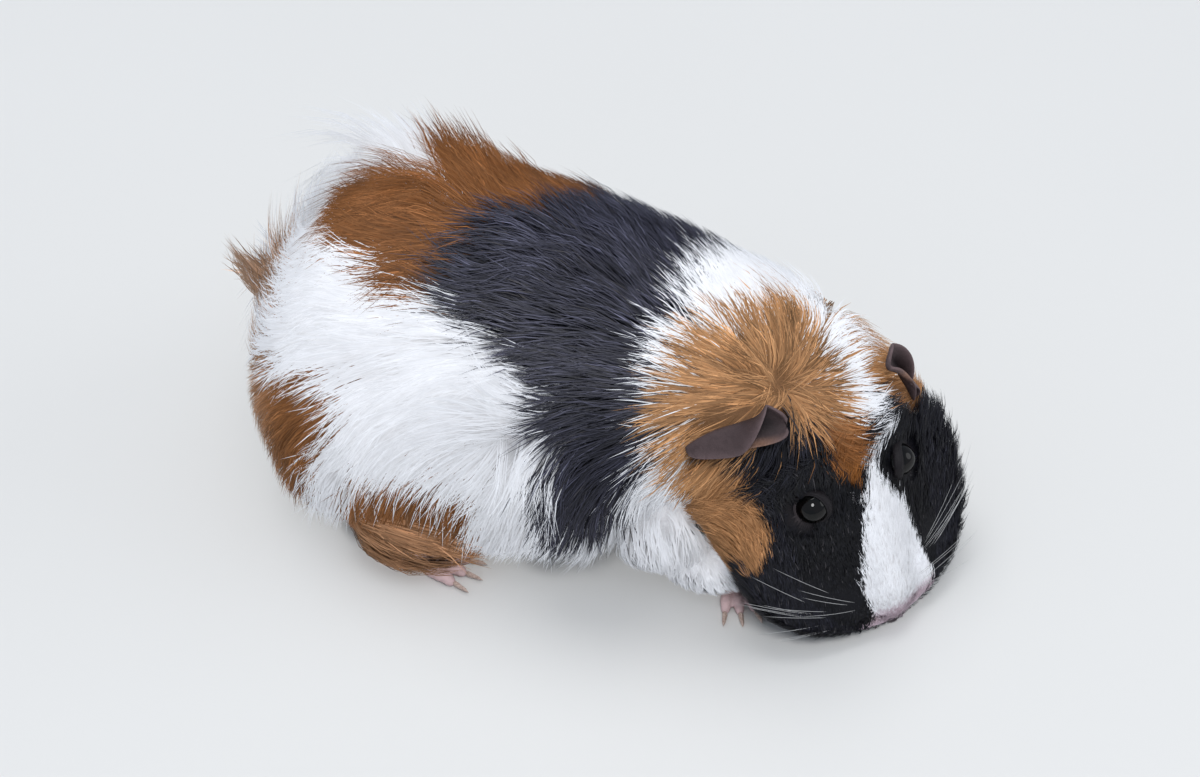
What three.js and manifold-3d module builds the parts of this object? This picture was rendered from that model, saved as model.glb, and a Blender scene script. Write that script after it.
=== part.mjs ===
// Guinea pig, life size, crouched with its nose down and its head turned to its right.
// Millimetres, +X along the trunk towards the head, +Y to the animal's left, +Z up.
import * as THREE from 'three';
import { ParametricGeometry } from 'three/addons/geometries/ParametricGeometry.js';
import { mergeVertices } from 'three/addons/utils/BufferGeometryUtils.js';
import Module from 'manifold-3d';

// ---------------------------------------------------------------- driving sizes
const GAP = 0.3;                 // clearance between neighbouring solids
const ORIGIN = [107.085, 12.0, 0]; // moves the model so that its box stands centred on the origin
const RUMP_CAP = 40;             // length of the rounded rump
const NOSE_CAP = 10;             // length of the rounded nose
const RIDGE_WIDTH = 0.35;        // width of the ridge along the back, as a share of the half-width
const AROUND = 24;               // facets round the body
const ALONG = 32;                // facets from rump to nose

// The coat's outer surface: one row for each station from rump to nose.
// x, y, z: axis point; yaw, pitch: heading in degrees, pitch down; side, up, down: extents;
// square: exponent of the lower half; taper: narrowing of the upper half; ridge: raised midline.
const STATIONS = {
  //         x      y     z     yaw pitch side up  down square taper ridge
  rump:     [-219,   -8,  37,     0,  0,  52, 35, 33, 2.5, 0.05, 0],
  tail:     [-202,  -10,  41,     0,  0,  57, 45, 37, 2.9, 0.10, 1],
  hips:     [-170,  -12,  42,     0,  0,  62, 62, 39, 3.7, 0.20, 5],
  loin:     [-136,  -13,  43,     0,  0,  62, 61, 40, 4.0, 0.22, 3],
  ribs:     [-106,  -15,  44,    -6,  0,  59, 57, 41, 3.6, 0.20, 2],
  shoulder: [-80,   -20,  45,   -14,  4,  54, 51, 41, 3.1, 0.12, 1],
  neck:     [-58,   -24,  49,   -24, 20,  47, 44, 42, 2.7, 0.05, 0],
  crown:    [-39.3, -28.6, 48,   -34, 40,  41, 31, 38, 2.5, 0.05, 0],
  brow:     [-26.0, -33.6, 39.6, -39, 53,  43, 13, 33, 2.4, 0.05, 4],
  eyes:     [-19.2, -39.1, 29.8, -39, 57, 42,  8, 29, 2.4, 0.05, 7],
  muzzle:   [-10.9, -45.8, 15.3, -39, 57, 38,  4, 19, 2.4, 0.00, 9],
  nose:     [-0.7,  -54.0,  2.4, -39, 57, 21,  3,  9, 2.3, 0.00, 4],
};

// Head landmarks, measured from the nose: back along the face, to the side, up off the face.
const NOSE = [-1.3, -53.6, 9];
const EYE = { back: 41.4, side: 16.5, up: 0.8, radius: 4.7, tilt: [0.74, 0.62, 0.25] };
const LID = { rise: 2.0, ring: 5.6, tube: 0.9 };
const NOSE_PAD = { back: -6.5, up: -1.0, radius: 6.5 };
const EAR = { length: 30, width: 9.5, thick: 0.6, cup: 4.5, droop: 5.0, buried: 0.16 };
const EAR_ROOT = { right: [-42.5, -53.5, 75], left: [-13.5, -17, 71] };
const EAR_LIE = { right: [-24, -11, -2], left: [8, 13, -17] };
const EAR_FACE = { right: [0.27, -0.81, 0.51], left: [0.75, 0.48, 0.40] };

// Feet: middle of the palm or sole on the floor, heading in degrees, and sizes.
const FEET = {
  fore_right: { at: [-50.5, -52], yaw: -60, kind: 'fore' },
  fore_left:  { at: [-42, -3],    yaw: -12, kind: 'fore' },
  hind_right: { at: [-152, -66],  yaw: -10, kind: 'hind' },
  hind_left:  { at: [-151, 42],   yaw: 10,  kind: 'hind' },
};
const FOOT = {
  fore: { sole: 9, half: 5.2, high: 5.0, toes: 4, fan: 15, toe: 9.0, thick: 2.0, claw: 4.5 },
  hind: { sole: 19, half: 6.2, high: 6.0, toes: 3, fan: 12, toe: 11.0, thick: 2.5, claw: 5.5 },
};
const SOLE_CUT = 1.3;            // how far the round foot is flattened on the floor

// Legs: centre, radii and heading of the egg shapes from the shoulder or thigh to the ankle.
const LEGS = {
  fore_right: [[-76, -50, 27, 21, 20, 20, -10], [-61, -55, 12, 15, 9.5, 9, -5]],
  fore_left:  [[-70, 8, 27, 21, 20, 20, -20], [-56, 3, 12, 15, 9.5, 9, -25]],
  hind_right: [[-150, -52, 30, 31, 23, 24, 0], [-157, -64, 14, 21, 13, 12, -6]],
  hind_left:  [[-150, 28, 30, 31, 23, 24, 0], [-157, 40, 14, 21, 13, 12, 6]],
};

// The coat standing off the body: x, y, z, radius along the crest left of the spine, which ends
// in a swept-up tuft, and along the tuft at the end of the rump.
const LOCKS = {
  crest: [
    [-106, 11, 78, 8], [-127, 15, 86, 12], [-146, 14, 89, 14], [-161, 12, 91, 14.5],
    [-172, 21, 90, 12], [-178, 28, 96, 6], [-183, 34, 102, 1.2],
  ],
  rump: [[-202, -14, 52, 15], [-214, -18, 58, 10], [-220, -20, 62, 5], [-227, -22, 66, 1.2]],
};

const COLOURS = {
  coat_white: 0xe8e2da, coat_brown: 0xb4713a, coat_black: 0x1d1b1e,
  skin_pink: 0xd9a8a2, ear: 0x5b4a4a, eye: 0x0c0a0c, claw: 0xcdb9a8,
};

// ---------------------------------------------------------------- solids
const wasm = await Module();
wasm.setup();

// A closed three.js geometry as a solid: shared points merged, empty triangles dropped.
function solid(geometry) {
  geometry.deleteAttribute('normal');
  geometry.deleteAttribute('uv');
  const merged = mergeVertices(geometry, 1e-3);
  const index = merged.index.array;
  const triangles = [];
  for (let i = 0; i < index.length; i += 3) {
    const [a, b, c] = [index[i], index[i + 1], index[i + 2]];
    if (a !== b && b !== c && c !== a) triangles.push(a, b, c);
  }
  const points = new Float32Array(merged.attributes.position.array);
  let volume = 0;
  const [p, q, r] = [new THREE.Vector3(), new THREE.Vector3(), new THREE.Vector3()];
  for (let i = 0; i < triangles.length; i += 3) {
    p.fromArray(points, 3 * triangles[i]);
    q.fromArray(points, 3 * triangles[i + 1]);
    r.fromArray(points, 3 * triangles[i + 2]);
    volume += p.dot(q.cross(r));
  }
  if (volume < 0) {
    for (let i = 0; i < triangles.length; i += 3) {
      [triangles[i], triangles[i + 1]] = [triangles[i + 1], triangles[i]];
    }
  }
  const triVerts = new Uint32Array(triangles);
  return new wasm.Manifold(new wasm.Mesh({ numProp: 3, vertProperties: points, triVerts }));
}

// Smooth interpolation of table rows along their distances, with slopes from the neighbours.
function blend(rows, dist, s) {
  const last = dist.length - 1;
  let i = 0;
  while (i < last - 1 && s > dist[i + 1]) i += 1;
  const slope = (k, c) => {
    const [a, b] = [Math.max(k - 1, 0), Math.min(k + 1, last)];
    return (rows[b][c] - rows[a][c]) / (dist[b] - dist[a]);
  };
  const h = dist[i + 1] - dist[i];
  const t = (s - dist[i]) / h;
  const [t2, t3] = [t * t, t * t * t];
  return rows[0].map((_, c) => (2 * t3 - 3 * t2 + 1) * rows[i][c]
    + (t3 - 2 * t2 + t) * h * slope(i, c)
    + (3 * t2 - 2 * t3) * rows[i + 1][c]
    + (t3 - t2) * h * slope(i + 1, c));
}

const rows = Object.values(STATIONS);
const dist = [0];
for (let i = 1; i < rows.length; i += 1) {
  const step = Math.hypot(...[0, 1, 2].map((c) => rows[i][c] - rows[i - 1][c]));
  dist.push(dist[i - 1] + step);
}
const LENGTH = dist[dist.length - 1];

// Heading, side and up directions of a station with the given yaw and pitch in degrees.
function directions(yaw, pitch) {
  const [y, p] = [THREE.MathUtils.degToRad(yaw), THREE.MathUtils.degToRad(pitch)];
  const ahead = new THREE.Vector3(Math.cos(p) * Math.cos(y), Math.cos(p) * Math.sin(y), -Math.sin(p));
  const side = new THREE.Vector3(-Math.sin(y), Math.cos(y), 0);
  return { ahead, side, up: new THREE.Vector3().crossVectors(ahead, side) };
}

// The whole body from rump to nose as one closed surface, grown outwards by a clearance.
function bodySolid(grow) {
  const power = (x, n) => Math.sign(x) * Math.abs(x) ** (2 / n);
  const point = (u, v, target) => {
    const s = LENGTH * (0.5 - 0.5 * Math.cos(Math.PI * (0.03 + 0.97 * v)));
    const end = v === 0 ? 0 : s;
    const row = blend(rows, dist, end);
    const { ahead, side, up } = directions(row[3], row[4]);
    const tail = Math.sqrt(1 - Math.max(0, 1 - end / RUMP_CAP) ** 2);
    const tip = Math.sqrt(Math.max(0, 1 - Math.max(0, 1 - (LENGTH - end) / NOSE_CAP) ** 2));
    const k = tail * tip;
    const angle = 2 * Math.PI * u;
    const low = Math.sin(angle) < 0;
    const c = power(Math.cos(angle), low ? row[8] : 2);
    const n = power(Math.sin(angle), low ? row[8] : 2);
    const top = Math.max(n, 0);
    const ridge = row[10] * top * Math.exp(-((c / RIDGE_WIDTH) ** 2));
    const across = (row[5] + grow) * k * c * (1 - row[9] * top * top);
    const high = ((low ? row[7] : row[6]) + grow) * k * n + ridge * k;
    const shift = grow * ((end > LENGTH / 2 ? 1 - tip : 0) - (end < LENGTH / 2 ? 1 - tail : 0));
    target.set(row[0], row[1], row[2]);
    target.addScaledVector(side, across).addScaledVector(up, high).addScaledVector(ahead, shift);
  };
  return solid(new ParametricGeometry(point, AROUND, ALONG));
}

// A round tube along [x, y, z, radius] points with rounded ends, grown by a clearance.
function tube(path, grow, sides = 12, steps = 10) {
  const curve = new THREE.CatmullRomCurve3(path.map((p) => new THREE.Vector3(...p)));
  const point = (u, v, target) => {
    const t = 0.5 - 0.5 * Math.cos(Math.PI * v);
    const along = t * (path.length - 1);
    const i = Math.min(Math.floor(along), path.length - 2);
    const radius = path[i][3] + (path[i + 1][3] - path[i][3]) * (along - i) + grow;
    const reach = 2 * t - 1;
    const end = v === 0 || v === 1 ? 0 : Math.sqrt(1 - Math.abs(reach) ** 6);
    const ahead = curve.getTangent(t);
    const side = new THREE.Vector3(0, 0, 1).cross(ahead).normalize();
    if (side.lengthSq() < 0.5) side.set(0, 1, 0);
    const up = new THREE.Vector3().crossVectors(ahead, side);
    const angle = 2 * Math.PI * u;
    target.copy(curve.getPoint(t));
    target.addScaledVector(side, radius * end * Math.cos(angle));
    target.addScaledVector(up, radius * end * Math.sin(angle));
    target.addScaledVector(ahead, (grow + 0.5 * radius) * reach * Math.abs(reach) ** 5);
  };
  return solid(new ParametricGeometry(point, sides, steps));
}

// A ball or an egg, given its centre, its radii along its own axes and its heading.
function egg(centre, radii, yaw = 0, detail = 12) {
  const geometry = new THREE.SphereGeometry(1, detail * 2 - 1, detail);
  geometry.rotateX(Math.PI / 2);
  geometry.scale(...radii);
  geometry.rotateZ(THREE.MathUtils.degToRad(yaw));
  geometry.translate(...centre);
  return solid(geometry);
}

// ---------------------------------------------------------------- head frame
const FACE = directions(-39, 57);
function facePoint(back, side, up) {
  const point = new THREE.Vector3(...NOSE);
  point.addScaledVector(FACE.ahead, -back).addScaledVector(FACE.side, side);
  return point.addScaledVector(FACE.up, up);
}

// ---------------------------------------------------------------- pieces
const model = new THREE.Group();
function add(name, piece, colour, roughness = 0.85) {
  const mesh = piece.getMesh();
  const geometry = new THREE.BufferGeometry();
  geometry.setAttribute('position', new THREE.BufferAttribute(new Float32Array(mesh.vertProperties), 3));
  geometry.setIndex(new THREE.BufferAttribute(new Uint32Array(mesh.triVerts), 1));
  geometry.translate(...ORIGIN);
  geometry.computeVertexNormals();
  const material = new THREE.MeshStandardMaterial({ color: COLOURS[colour], roughness, metalness: 0 });
  const node = new THREE.Mesh(geometry, material);
  node.name = name;
  model.add(node);
}

// A foot: a rounded sole with its toes fanned in front, flattened on the floor.
function toePaths(foot) {
  const size = FOOT[foot.kind];
  const paths = [];
  for (let i = 0; i < size.toes; i += 1) {
    const share = i - (size.toes - 1) / 2;
    const yaw = foot.yaw + share * size.fan;
    const { ahead, side } = directions(foot.yaw, 0);
    const toe = directions(yaw, 0).ahead;
    const root = new THREE.Vector3(foot.at[0], foot.at[1], size.thick + 1);
    root.addScaledVector(ahead, size.sole / 2 - 2).addScaledVector(side, share * size.half * 0.5);
    const reach = size.toe * (1 - 0.12 * Math.abs(share));
    const steps = [0, 0.55, 1].map((t) => {
      const p = root.clone().addScaledVector(toe, reach * t);
      const lift = 1.1 * Math.sin(Math.PI * t);
      return [p.x, p.y, size.thick - SOLE_CUT + lift + 0.4, size.thick * (1.1 - 0.25 * t)];
    });
    paths.push({ steps, toe });
  }
  return paths;
}

function footSolid(foot, grow) {
  const size = FOOT[foot.kind];
  const radii = [size.sole / 2 + grow, size.half + grow, size.high + grow];
  let whole = egg([...foot.at, size.high - SOLE_CUT], radii, foot.yaw, 5);
  const { ahead } = directions(foot.yaw, 0);
  const heel = foot.at.map((c, k) => c - ahead.getComponent(k) * size.sole * 0.3);
  const heelRadii = [size.half + 1.5 + grow, size.half - 0.5 + grow, size.high + 1.5 + grow];
  whole = whole.add(egg([...heel, size.high - SOLE_CUT + 1.5], heelRadii, foot.yaw, 5));
  toePaths(foot).forEach(({ steps }) => {
    whole = whole.add(tube(steps, grow, 5, 4));
  });
  return whole.trimByPlane([0, 0, 1], -grow);
}

function legSolid(name, grow) {
  const eggs = LEGS[name].map(([x, y, z, long, wide, high, yaw]) => {
    return egg([x, y, z], [long + grow, wide + grow, high + grow], yaw, 6);
  });
  return eggs[0].add(eggs[1]).trimByPlane([0, 0, 1], 1.5 - grow);
}

let body = bodySolid(0);
Object.values(LOCKS).forEach((path) => {
  body = body.add(tube(path, 0, 8, 3 * path.length - 6));
});
const bodyRoom = bodySolid(GAP);

Object.entries(FEET).forEach(([name, foot]) => {
  const room = footSolid(foot, GAP);
  body = body.subtract(room).subtract(legSolid(name, GAP));
  const [pair, side] = name.split('_');
  add(`${pair}_leg_${side}`, legSolid(name, 0).subtract(room), side === 'right' ? 'coat_brown' : 'coat_white');
  add(`${pair}_foot_${side}`, footSolid(foot, 0), 'skin_pink', 0.7);
  toePaths(foot).forEach(({ steps, toe }, i) => {
    const length = FOOT[foot.kind].claw;
    const [x, y, z] = steps[2];
    const claw = [-1.5, 0.45 * length, length].map((t, k) => {
      return [x + toe.x * (t + 1), y + toe.y * (t + 1), z + [0.3, 0.4, -0.4][k], [1.0, 0.85, 0.3][k]];
    });
    const piece = tube(claw, 0, 5, 3).subtract(room).trimByPlane([0, 0, 1], 0.3);
    add(`claw_${pair}_${side}_${i + 1}`, piece, 'claw', 0.45);
  });
});

// Eyes in their sockets, each with a ring of eyelid.
['right', 'left'].forEach((name, k) => {
  const out = k === 0 ? -1 : 1;
  const centre = facePoint(EYE.back, out * EYE.side, EYE.up);
  const axis = new THREE.Vector3().addScaledVector(FACE.side, out * EYE.tilt[0]);
  axis.addScaledVector(FACE.up, EYE.tilt[1]).addScaledVector(FACE.ahead, EYE.tilt[2]).normalize();
  const ball = (radius, detail) => egg(centre.toArray(), [radius, radius, radius], 0, detail);
  const turn = new THREE.Quaternion().setFromUnitVectors(new THREE.Vector3(0, 0, 1), axis);
  const lid = (tubeRadius) => {
    const geometry = new THREE.TorusGeometry(LID.ring, tubeRadius, 6, 12);
    geometry.applyQuaternion(turn);
    geometry.translate(...centre.clone().addScaledVector(axis, LID.rise).toArray());
    return solid(geometry);
  };
  body = body.subtract(ball(EYE.radius + GAP, 7)).subtract(lid(LID.tube + GAP));
  // the coat in front of the eye is parted down to the lid
  const parting = new THREE.CylinderGeometry(9.5, LID.ring + LID.tube + GAP, 8, 12);
  parting.rotateX(Math.PI / 2);
  parting.translate(0, 0, 4 + LID.rise);
  parting.applyQuaternion(turn);
  parting.translate(...centre.toArray());
  body = body.subtract(solid(parting));
  add(`eye_${name}`, ball(EYE.radius, 7), 'eye', 0.08);
  add(`eyelid_${name}`, lid(LID.tube), 'coat_black', 0.6);
});

// Ears: petal-shaped sheets, cupped across and drooping along their length.
function earSheet(side, grow) {
  const root = new THREE.Vector3(...EAR_ROOT[side]);
  const lie = new THREE.Vector3(...EAR_LIE[side]).normalize();
  const face = new THREE.Vector3(...EAR_FACE[side]);
  face.addScaledVector(lie, -face.dot(lie)).normalize();
  const across = new THREE.Vector3().crossVectors(face, lie);
  const point = (u, v, target) => {
    const half = (EAR.width + grow) * Math.max(0, Math.sin(Math.PI * v ** 0.8)) ** 0.62;
    const angle = 2 * Math.PI * u;
    const q = Math.cos(angle);
    const thick = (EAR.thick + grow) * Math.sin(angle) * (v === 0 || v === 1 ? 0 : 1);
    const cup = EAR.cup * (q * q - 0.4) * (half / EAR.width) ** 2;
    target.copy(root).addScaledVector(lie, EAR.length * (v - EAR.buried) + grow * (2 * v - 1));
    target.addScaledVector(across, half * q);
    target.addScaledVector(face, thick + cup + 3 - EAR.droop * v * v);
  };
  return solid(new ParametricGeometry(point, 14, 9));
}
['right', 'left'].forEach((name) => {
  add(`ear_${name}`, earSheet(name, 0).subtract(bodyRoom), 'ear', 0.75);
});

// The body in its parts: nose pad, head, neck and trunk, parted by thin cuts.
const pad = facePoint(NOSE_PAD.back, 0, NOSE_PAD.up).toArray();
const padBall = (radius) => egg(pad, [radius, radius, radius], 0, 6);
add('nose_pad', body.intersect(padBall(NOSE_PAD.radius)), 'coat_white', 0.7);
body = body.subtract(padBall(NOSE_PAD.radius + GAP));

// An oval bar ahead of a station's ring, a little larger than the ring.
function barAhead(station, start) {
  const row = STATIONS[station];
  const { ahead, side, up } = directions(row[3], row[4]);
  const geometry = new THREE.CylinderGeometry(1, 1, 200, 24);
  geometry.rotateZ(Math.PI / 2);
  geometry.scale(1, row[5] + 7, Math.max(row[6], row[7]) + 4);
  geometry.translate(100 + start, 0, 0);
  geometry.applyMatrix4(new THREE.Matrix4().makeBasis(ahead, side, up));
  geometry.translate(row[0], row[1], row[2]);
  return solid(geometry);
}
const headAndNeck = body.intersect(barAhead('shoulder', GAP / 2));
add('head', headAndNeck.intersect(barAhead('crown', GAP / 2)), 'coat_black');
add('neck', headAndNeck.subtract(barAhead('crown', -GAP / 2)), 'coat_brown');
add('trunk', body.subtract(barAhead('shoulder', -GAP / 2)), 'coat_white');

export default model;
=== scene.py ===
import bpy
import numpy as np
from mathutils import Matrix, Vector


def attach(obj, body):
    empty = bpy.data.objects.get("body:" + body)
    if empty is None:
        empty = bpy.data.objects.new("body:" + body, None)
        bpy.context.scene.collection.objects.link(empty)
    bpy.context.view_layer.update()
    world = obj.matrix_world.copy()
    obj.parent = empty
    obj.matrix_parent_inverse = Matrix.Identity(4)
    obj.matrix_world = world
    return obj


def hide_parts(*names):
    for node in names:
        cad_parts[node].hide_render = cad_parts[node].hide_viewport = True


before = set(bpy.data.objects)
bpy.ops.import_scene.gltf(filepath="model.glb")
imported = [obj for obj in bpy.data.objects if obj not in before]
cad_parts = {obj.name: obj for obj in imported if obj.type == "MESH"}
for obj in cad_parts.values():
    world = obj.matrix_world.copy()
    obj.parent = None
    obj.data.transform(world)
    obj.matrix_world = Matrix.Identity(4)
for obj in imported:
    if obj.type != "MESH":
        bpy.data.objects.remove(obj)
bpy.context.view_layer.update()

# ---------------------------------------------------------------- body under the coat
# A tricolour rough-coated guinea pig, crouched with its nose down. The coat's outer form is an
# axis from rump to nose with an oval at each station, in millimetres, and the skin lies inside it
# by the depth of the coat.
ORIGIN = np.array([107.085, 12.0, 0.0])    # from the coat's own axes to the frame's
MM, METRE = 0.001, 1000                    # a millimetre in metres, and a metre in millimetres
RUMP_CAP, NOSE_CAP = 40.0, 10.0            # the lengths over which the ends close
RIDGE_WIDTH = 0.35                         # as a share of the half-width
STATIONS = np.array([
    # x, y, z, yaw, pitch down, side, up, down, square, taper, ridge
    [-219, -8, 37, 0, 0, 52, 35, 33, 2.5, 0.05, 0],
    [-202, -10, 41, 0, 0, 57, 45, 37, 2.9, 0.10, 1],
    [-170, -12, 42, 0, 0, 62, 62, 39, 3.7, 0.20, 5],
    [-136, -13, 43, 0, 0, 62, 61, 40, 4.0, 0.22, 3],
    [-106, -15, 44, -6, 0, 59, 57, 41, 3.6, 0.20, 2],
    [-80, -20, 45, -14, 4, 54, 51, 41, 3.1, 0.12, 1],
    [-58, -24, 49, -24, 20, 47, 44, 42, 2.7, 0.05, 0],
    [-39.3, -28.6, 48, -34, 40, 41, 31, 38, 2.5, 0.05, 0],
    [-26.0, -33.6, 39.6, -39, 53, 43, 13, 33, 2.4, 0.05, 4],
    [-19.2, -39.1, 29.8, -39, 57, 42, 8, 29, 2.4, 0.05, 7],
    [-10.9, -45.8, 15.3, -39, 57, 38, 4, 19, 2.4, 0.00, 9],
    [-0.7, -54.0, 2.4, -39, 57, 21, 3, 9, 2.3, 0.00, 4],
])
STEPS = np.linalg.norm(np.diff(STATIONS[:, :3], axis=0), axis=1)
DISTANCE = np.concatenate([[0.0], np.cumsum(STEPS)])
LENGTH = DISTANCE[-1]


def unit(v):
    """Each vector over its own length."""
    return v / np.maximum(np.linalg.norm(v, axis=-1, keepdims=True), 1e-9)


def along(rows, dist, s):
    """Cubic curves through the rows at their distances: each span is the Hermite cubic whose end
    slopes are the differences of the neighbouring rows over the distance between them."""
    rows, s = np.asarray(rows, float), np.asarray(s, float)
    k = np.arange(len(dist))
    before, after = np.maximum(k - 1, 0), np.minimum(k + 1, len(dist) - 1)
    slope = (rows[after] - rows[before]) / (dist[after] - dist[before])[:, None]
    i = np.clip(np.searchsorted(dist, s, side="right") - 1, 0, len(dist) - 2)
    h = (dist[i + 1] - dist[i])[..., None]
    t = (s[..., None] - dist[i][..., None]) / h
    return ((2 * t**3 - 3 * t**2 + 1) * rows[i] + (t**3 - 2 * t**2 + t) * h * slope[i]
            + (3 * t**2 - 2 * t**3) * rows[i + 1] + (t**3 - t**2) * h * slope[i + 1])


def heading(yaw, pitch):
    """Ahead, side and up for a yaw and a downward pitch in degrees: up is ahead cross side."""
    y, p = np.radians(yaw), np.radians(pitch)
    ahead = np.stack([np.cos(p) * np.cos(y), np.cos(p) * np.sin(y), -np.sin(p)], -1)
    side = np.stack([-np.sin(y), np.cos(y), 0 * y], -1)
    return ahead, side, np.cross(ahead, side)


def coat_form(s, a):
    """The coat's outer surface: the axis point at distance s, plus a superellipse at angle a
    (0 left, 90 spine, 180 right, 270 belly) whose top narrows by the taper and carries the ridge
    as a bell curve. The ends close like balls, by the square root of one minus a square."""
    row = along(STATIONS, DISTANCE, s)
    ahead, side, up = heading(row[..., 3], row[..., 4])
    rump = np.clip(1 - s / RUMP_CAP, 0, 1)
    nose = np.clip(1 - (LENGTH - s) / NOSE_CAP, 0, 1)
    k = np.sqrt(1 - rump**2) * np.sqrt(1 - nose**2)
    power = np.where(np.sin(a) < 0, row[..., 8], 2.0)
    c = np.sign(np.cos(a)) * np.abs(np.cos(a)) ** (2 / power)
    n = np.sign(np.sin(a)) * np.abs(np.sin(a)) ** (2 / power)
    top = np.maximum(n, 0)
    across = row[..., 5] * k * c * (1 - row[..., 9] * top**2)
    high = np.where(n < 0, row[..., 7], row[..., 6]) * k * n
    high = high + row[..., 10] * k * top * np.exp(-((c / RIDGE_WIDTH) ** 2))
    return row[..., :3] + side * across[..., None] + up * high[..., None]


# Depth of the coat over the skin at stations from rump to nose: back, flank, belly.
DEPTH = np.array([
    [0, 16, 16, 8], [18, 17, 17, 8], [50, 15, 18, 7], [84, 14, 17, 6], [114, 13, 15, 6],
    [140, 13, 14, 6], [163, 12.5, 13, 6], [175, 11, 11.5, 6], [183, 8, 9, 6], [190, 5.5, 8, 5.5],
    [199, 3, 6, 5], [212, 1.5, 3.4, 4], [230, 1.2, 2.2, 3], [240, 1.0, 1.5, 2], [248.5, 0.5, 0.6, 0.8],
])
# The grid of the body: rows in distance from the rump, closer together on the head and at the
# ends, and columns in angle.
COLUMNS, RUMP_ROWS, NOSE_ROWS = 216, 34, 24
HEAD_START, BODY_STEP, HEAD_STEP = 182, 1.5, 0.75
around = 2 * np.pi * np.arange(COLUMNS) / COLUMNS
rows_s = np.concatenate([
    RUMP_CAP * (1 - np.cos(np.linspace(0.03, np.pi / 2, RUMP_ROWS))),
    np.arange(RUMP_CAP + BODY_STEP, HEAD_START, BODY_STEP),
    np.arange(HEAD_START, LENGTH - NOSE_CAP - 0.3, HEAD_STEP),
    LENGTH - NOSE_CAP * (1 - np.cos(np.linspace(np.pi / 2, 0.05, NOSE_ROWS))),
])
form = coat_form(rows_s[:, None], around[None, :])
form_s = np.gradient(form, rows_s, axis=0)
form_a = (np.roll(form, -1, 1) - np.roll(form, 1, 1)) / (2 * around[1])
form_n = unit(np.cross(form_a, form_s))
top = np.clip(np.sin(around), 0, 1)[None, :] ** 2
low = np.clip(-np.sin(around), 0, 1)[None, :] ** 2
deep = np.stack([np.interp(rows_s, DEPTH[:, 0], DEPTH[:, k]) for k in (1, 2, 3)], -1)[:, None, :]
depth = deep[..., 0] * top + deep[..., 2] * low + deep[..., 1] * (1 - top - low)

# Head landmarks are measured from the nose: back along the face, to the left, up off the face.
NOSE = np.array([-1.3, -53.6, 9.0])
FACE_YAW, FACE_PITCH = -39, 57
AHEAD, SIDE, UP = heading(np.float64(FACE_YAW), np.float64(FACE_PITCH))
EYE_BACK, EYE_SIDE, EYE_UP, EYE_RADIUS = 41.4, 16.6, 1.0, 5.2
LOOK_OUT, LOOK_UP, LOOK_AHEAD = 0.74, 0.62, 0.25    # the way in which an eye looks
LID_REACH = 9.0                                     # of the lids, from the middle of the eye
THIN_AT_EYE = 0.55                                  # the share of the coat's depth lost there


def face_point(back, side, up):
    """The nose minus back times ahead, plus side times left, plus up times up."""
    return NOSE - back * AHEAD + side * SIDE + up * UP


eye_centre = {out: face_point(EYE_BACK, out * EYE_SIDE, EYE_UP) for out in (-1, 1)}
eye_axis = {out: unit(LOOK_OUT * out * SIDE + LOOK_UP * UP + LOOK_AHEAD * AHEAD) for out in (-1, 1)}


def from_eye(points, out):
    """Points as seen from the middle of an eye: the ways to them, how far they are, and the angle
    off the eye's axis in degrees, the arc cosine of their product over the distance."""
    spoke = points - eye_centre[out]
    far = np.linalg.norm(spoke, axis=-1)
    return spoke, far, np.degrees(np.arccos(np.clip(spoke @ eye_axis[out] / far, -1, 1)))


near_eye = sum(np.exp(-(from_eye(form, out)[1] / LID_REACH) ** 2) for out in (-1, 1))
depth = depth * (1 - THIN_AT_EYE * np.clip(near_eye, 0, 1))
skin = form - form_n * depth[..., None]


def at(field, s, psi):
    """A field of the body grid at distance s and angle psi from the spine, to the right."""
    i = np.interp(s, rows_s, np.arange(len(rows_s)))
    j = (np.asarray(psi, float) + 90) / 360 * len(around)
    i0 = np.clip(np.floor(i).astype(int), 0, len(rows_s) - 2)
    j0 = np.floor(j).astype(int)
    fi, fj = i - i0, j - j0
    if field.ndim > 2:
        fi, fj = fi[..., None], fj[..., None]
    j1 = (j0 + 1) % len(around)
    j0 = j0 % len(around)
    return ((1 - fi) * ((1 - fj) * field[i0, j0] + fj * field[i0, j1])
            + fi * ((1 - fj) * field[i0 + 1, j0] + fj * field[i0 + 1, j1]))


# Soft forms of the head, each a bell-shaped swelling or hollow on both sides of the skin:
# distance from the rump, angle from the spine, height, and radius.
SWELLINGS = [
    (212, 0, -0.8, 9), (226, 38, 1.6, 10), (236, 24, 1.2, 7), (206, 70, 1.5, 13), (198, 33, 0.9, 6),
    (245.4, 24, -1.9, 1.5), (244.2, 33, -1.2, 1.3), (243.4, 14, 0.5, 1.6),
]
for s, psi, rise, radius in SWELLINGS:
    for turned in sorted({psi, -psi}, reverse=True):
        where = at(skin, np.float64(s), np.float64(turned))
        bell = np.exp(-(np.linalg.norm(skin - where, axis=-1) / radius) ** 2)
        skin = skin + form_n * (rise * bell)[..., None]
BROW_RISE, BROW_RING, BROW_WIDTH = 1.5, 5.5, 3.2    # a low ring round each eye
for out in (-1, 1):
    gap = from_eye(skin, out)[1]
    skin = skin + form_n * (BROW_RISE * np.exp(-((gap - BROW_RING) / BROW_WIDTH) ** 2))[..., None]
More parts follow.
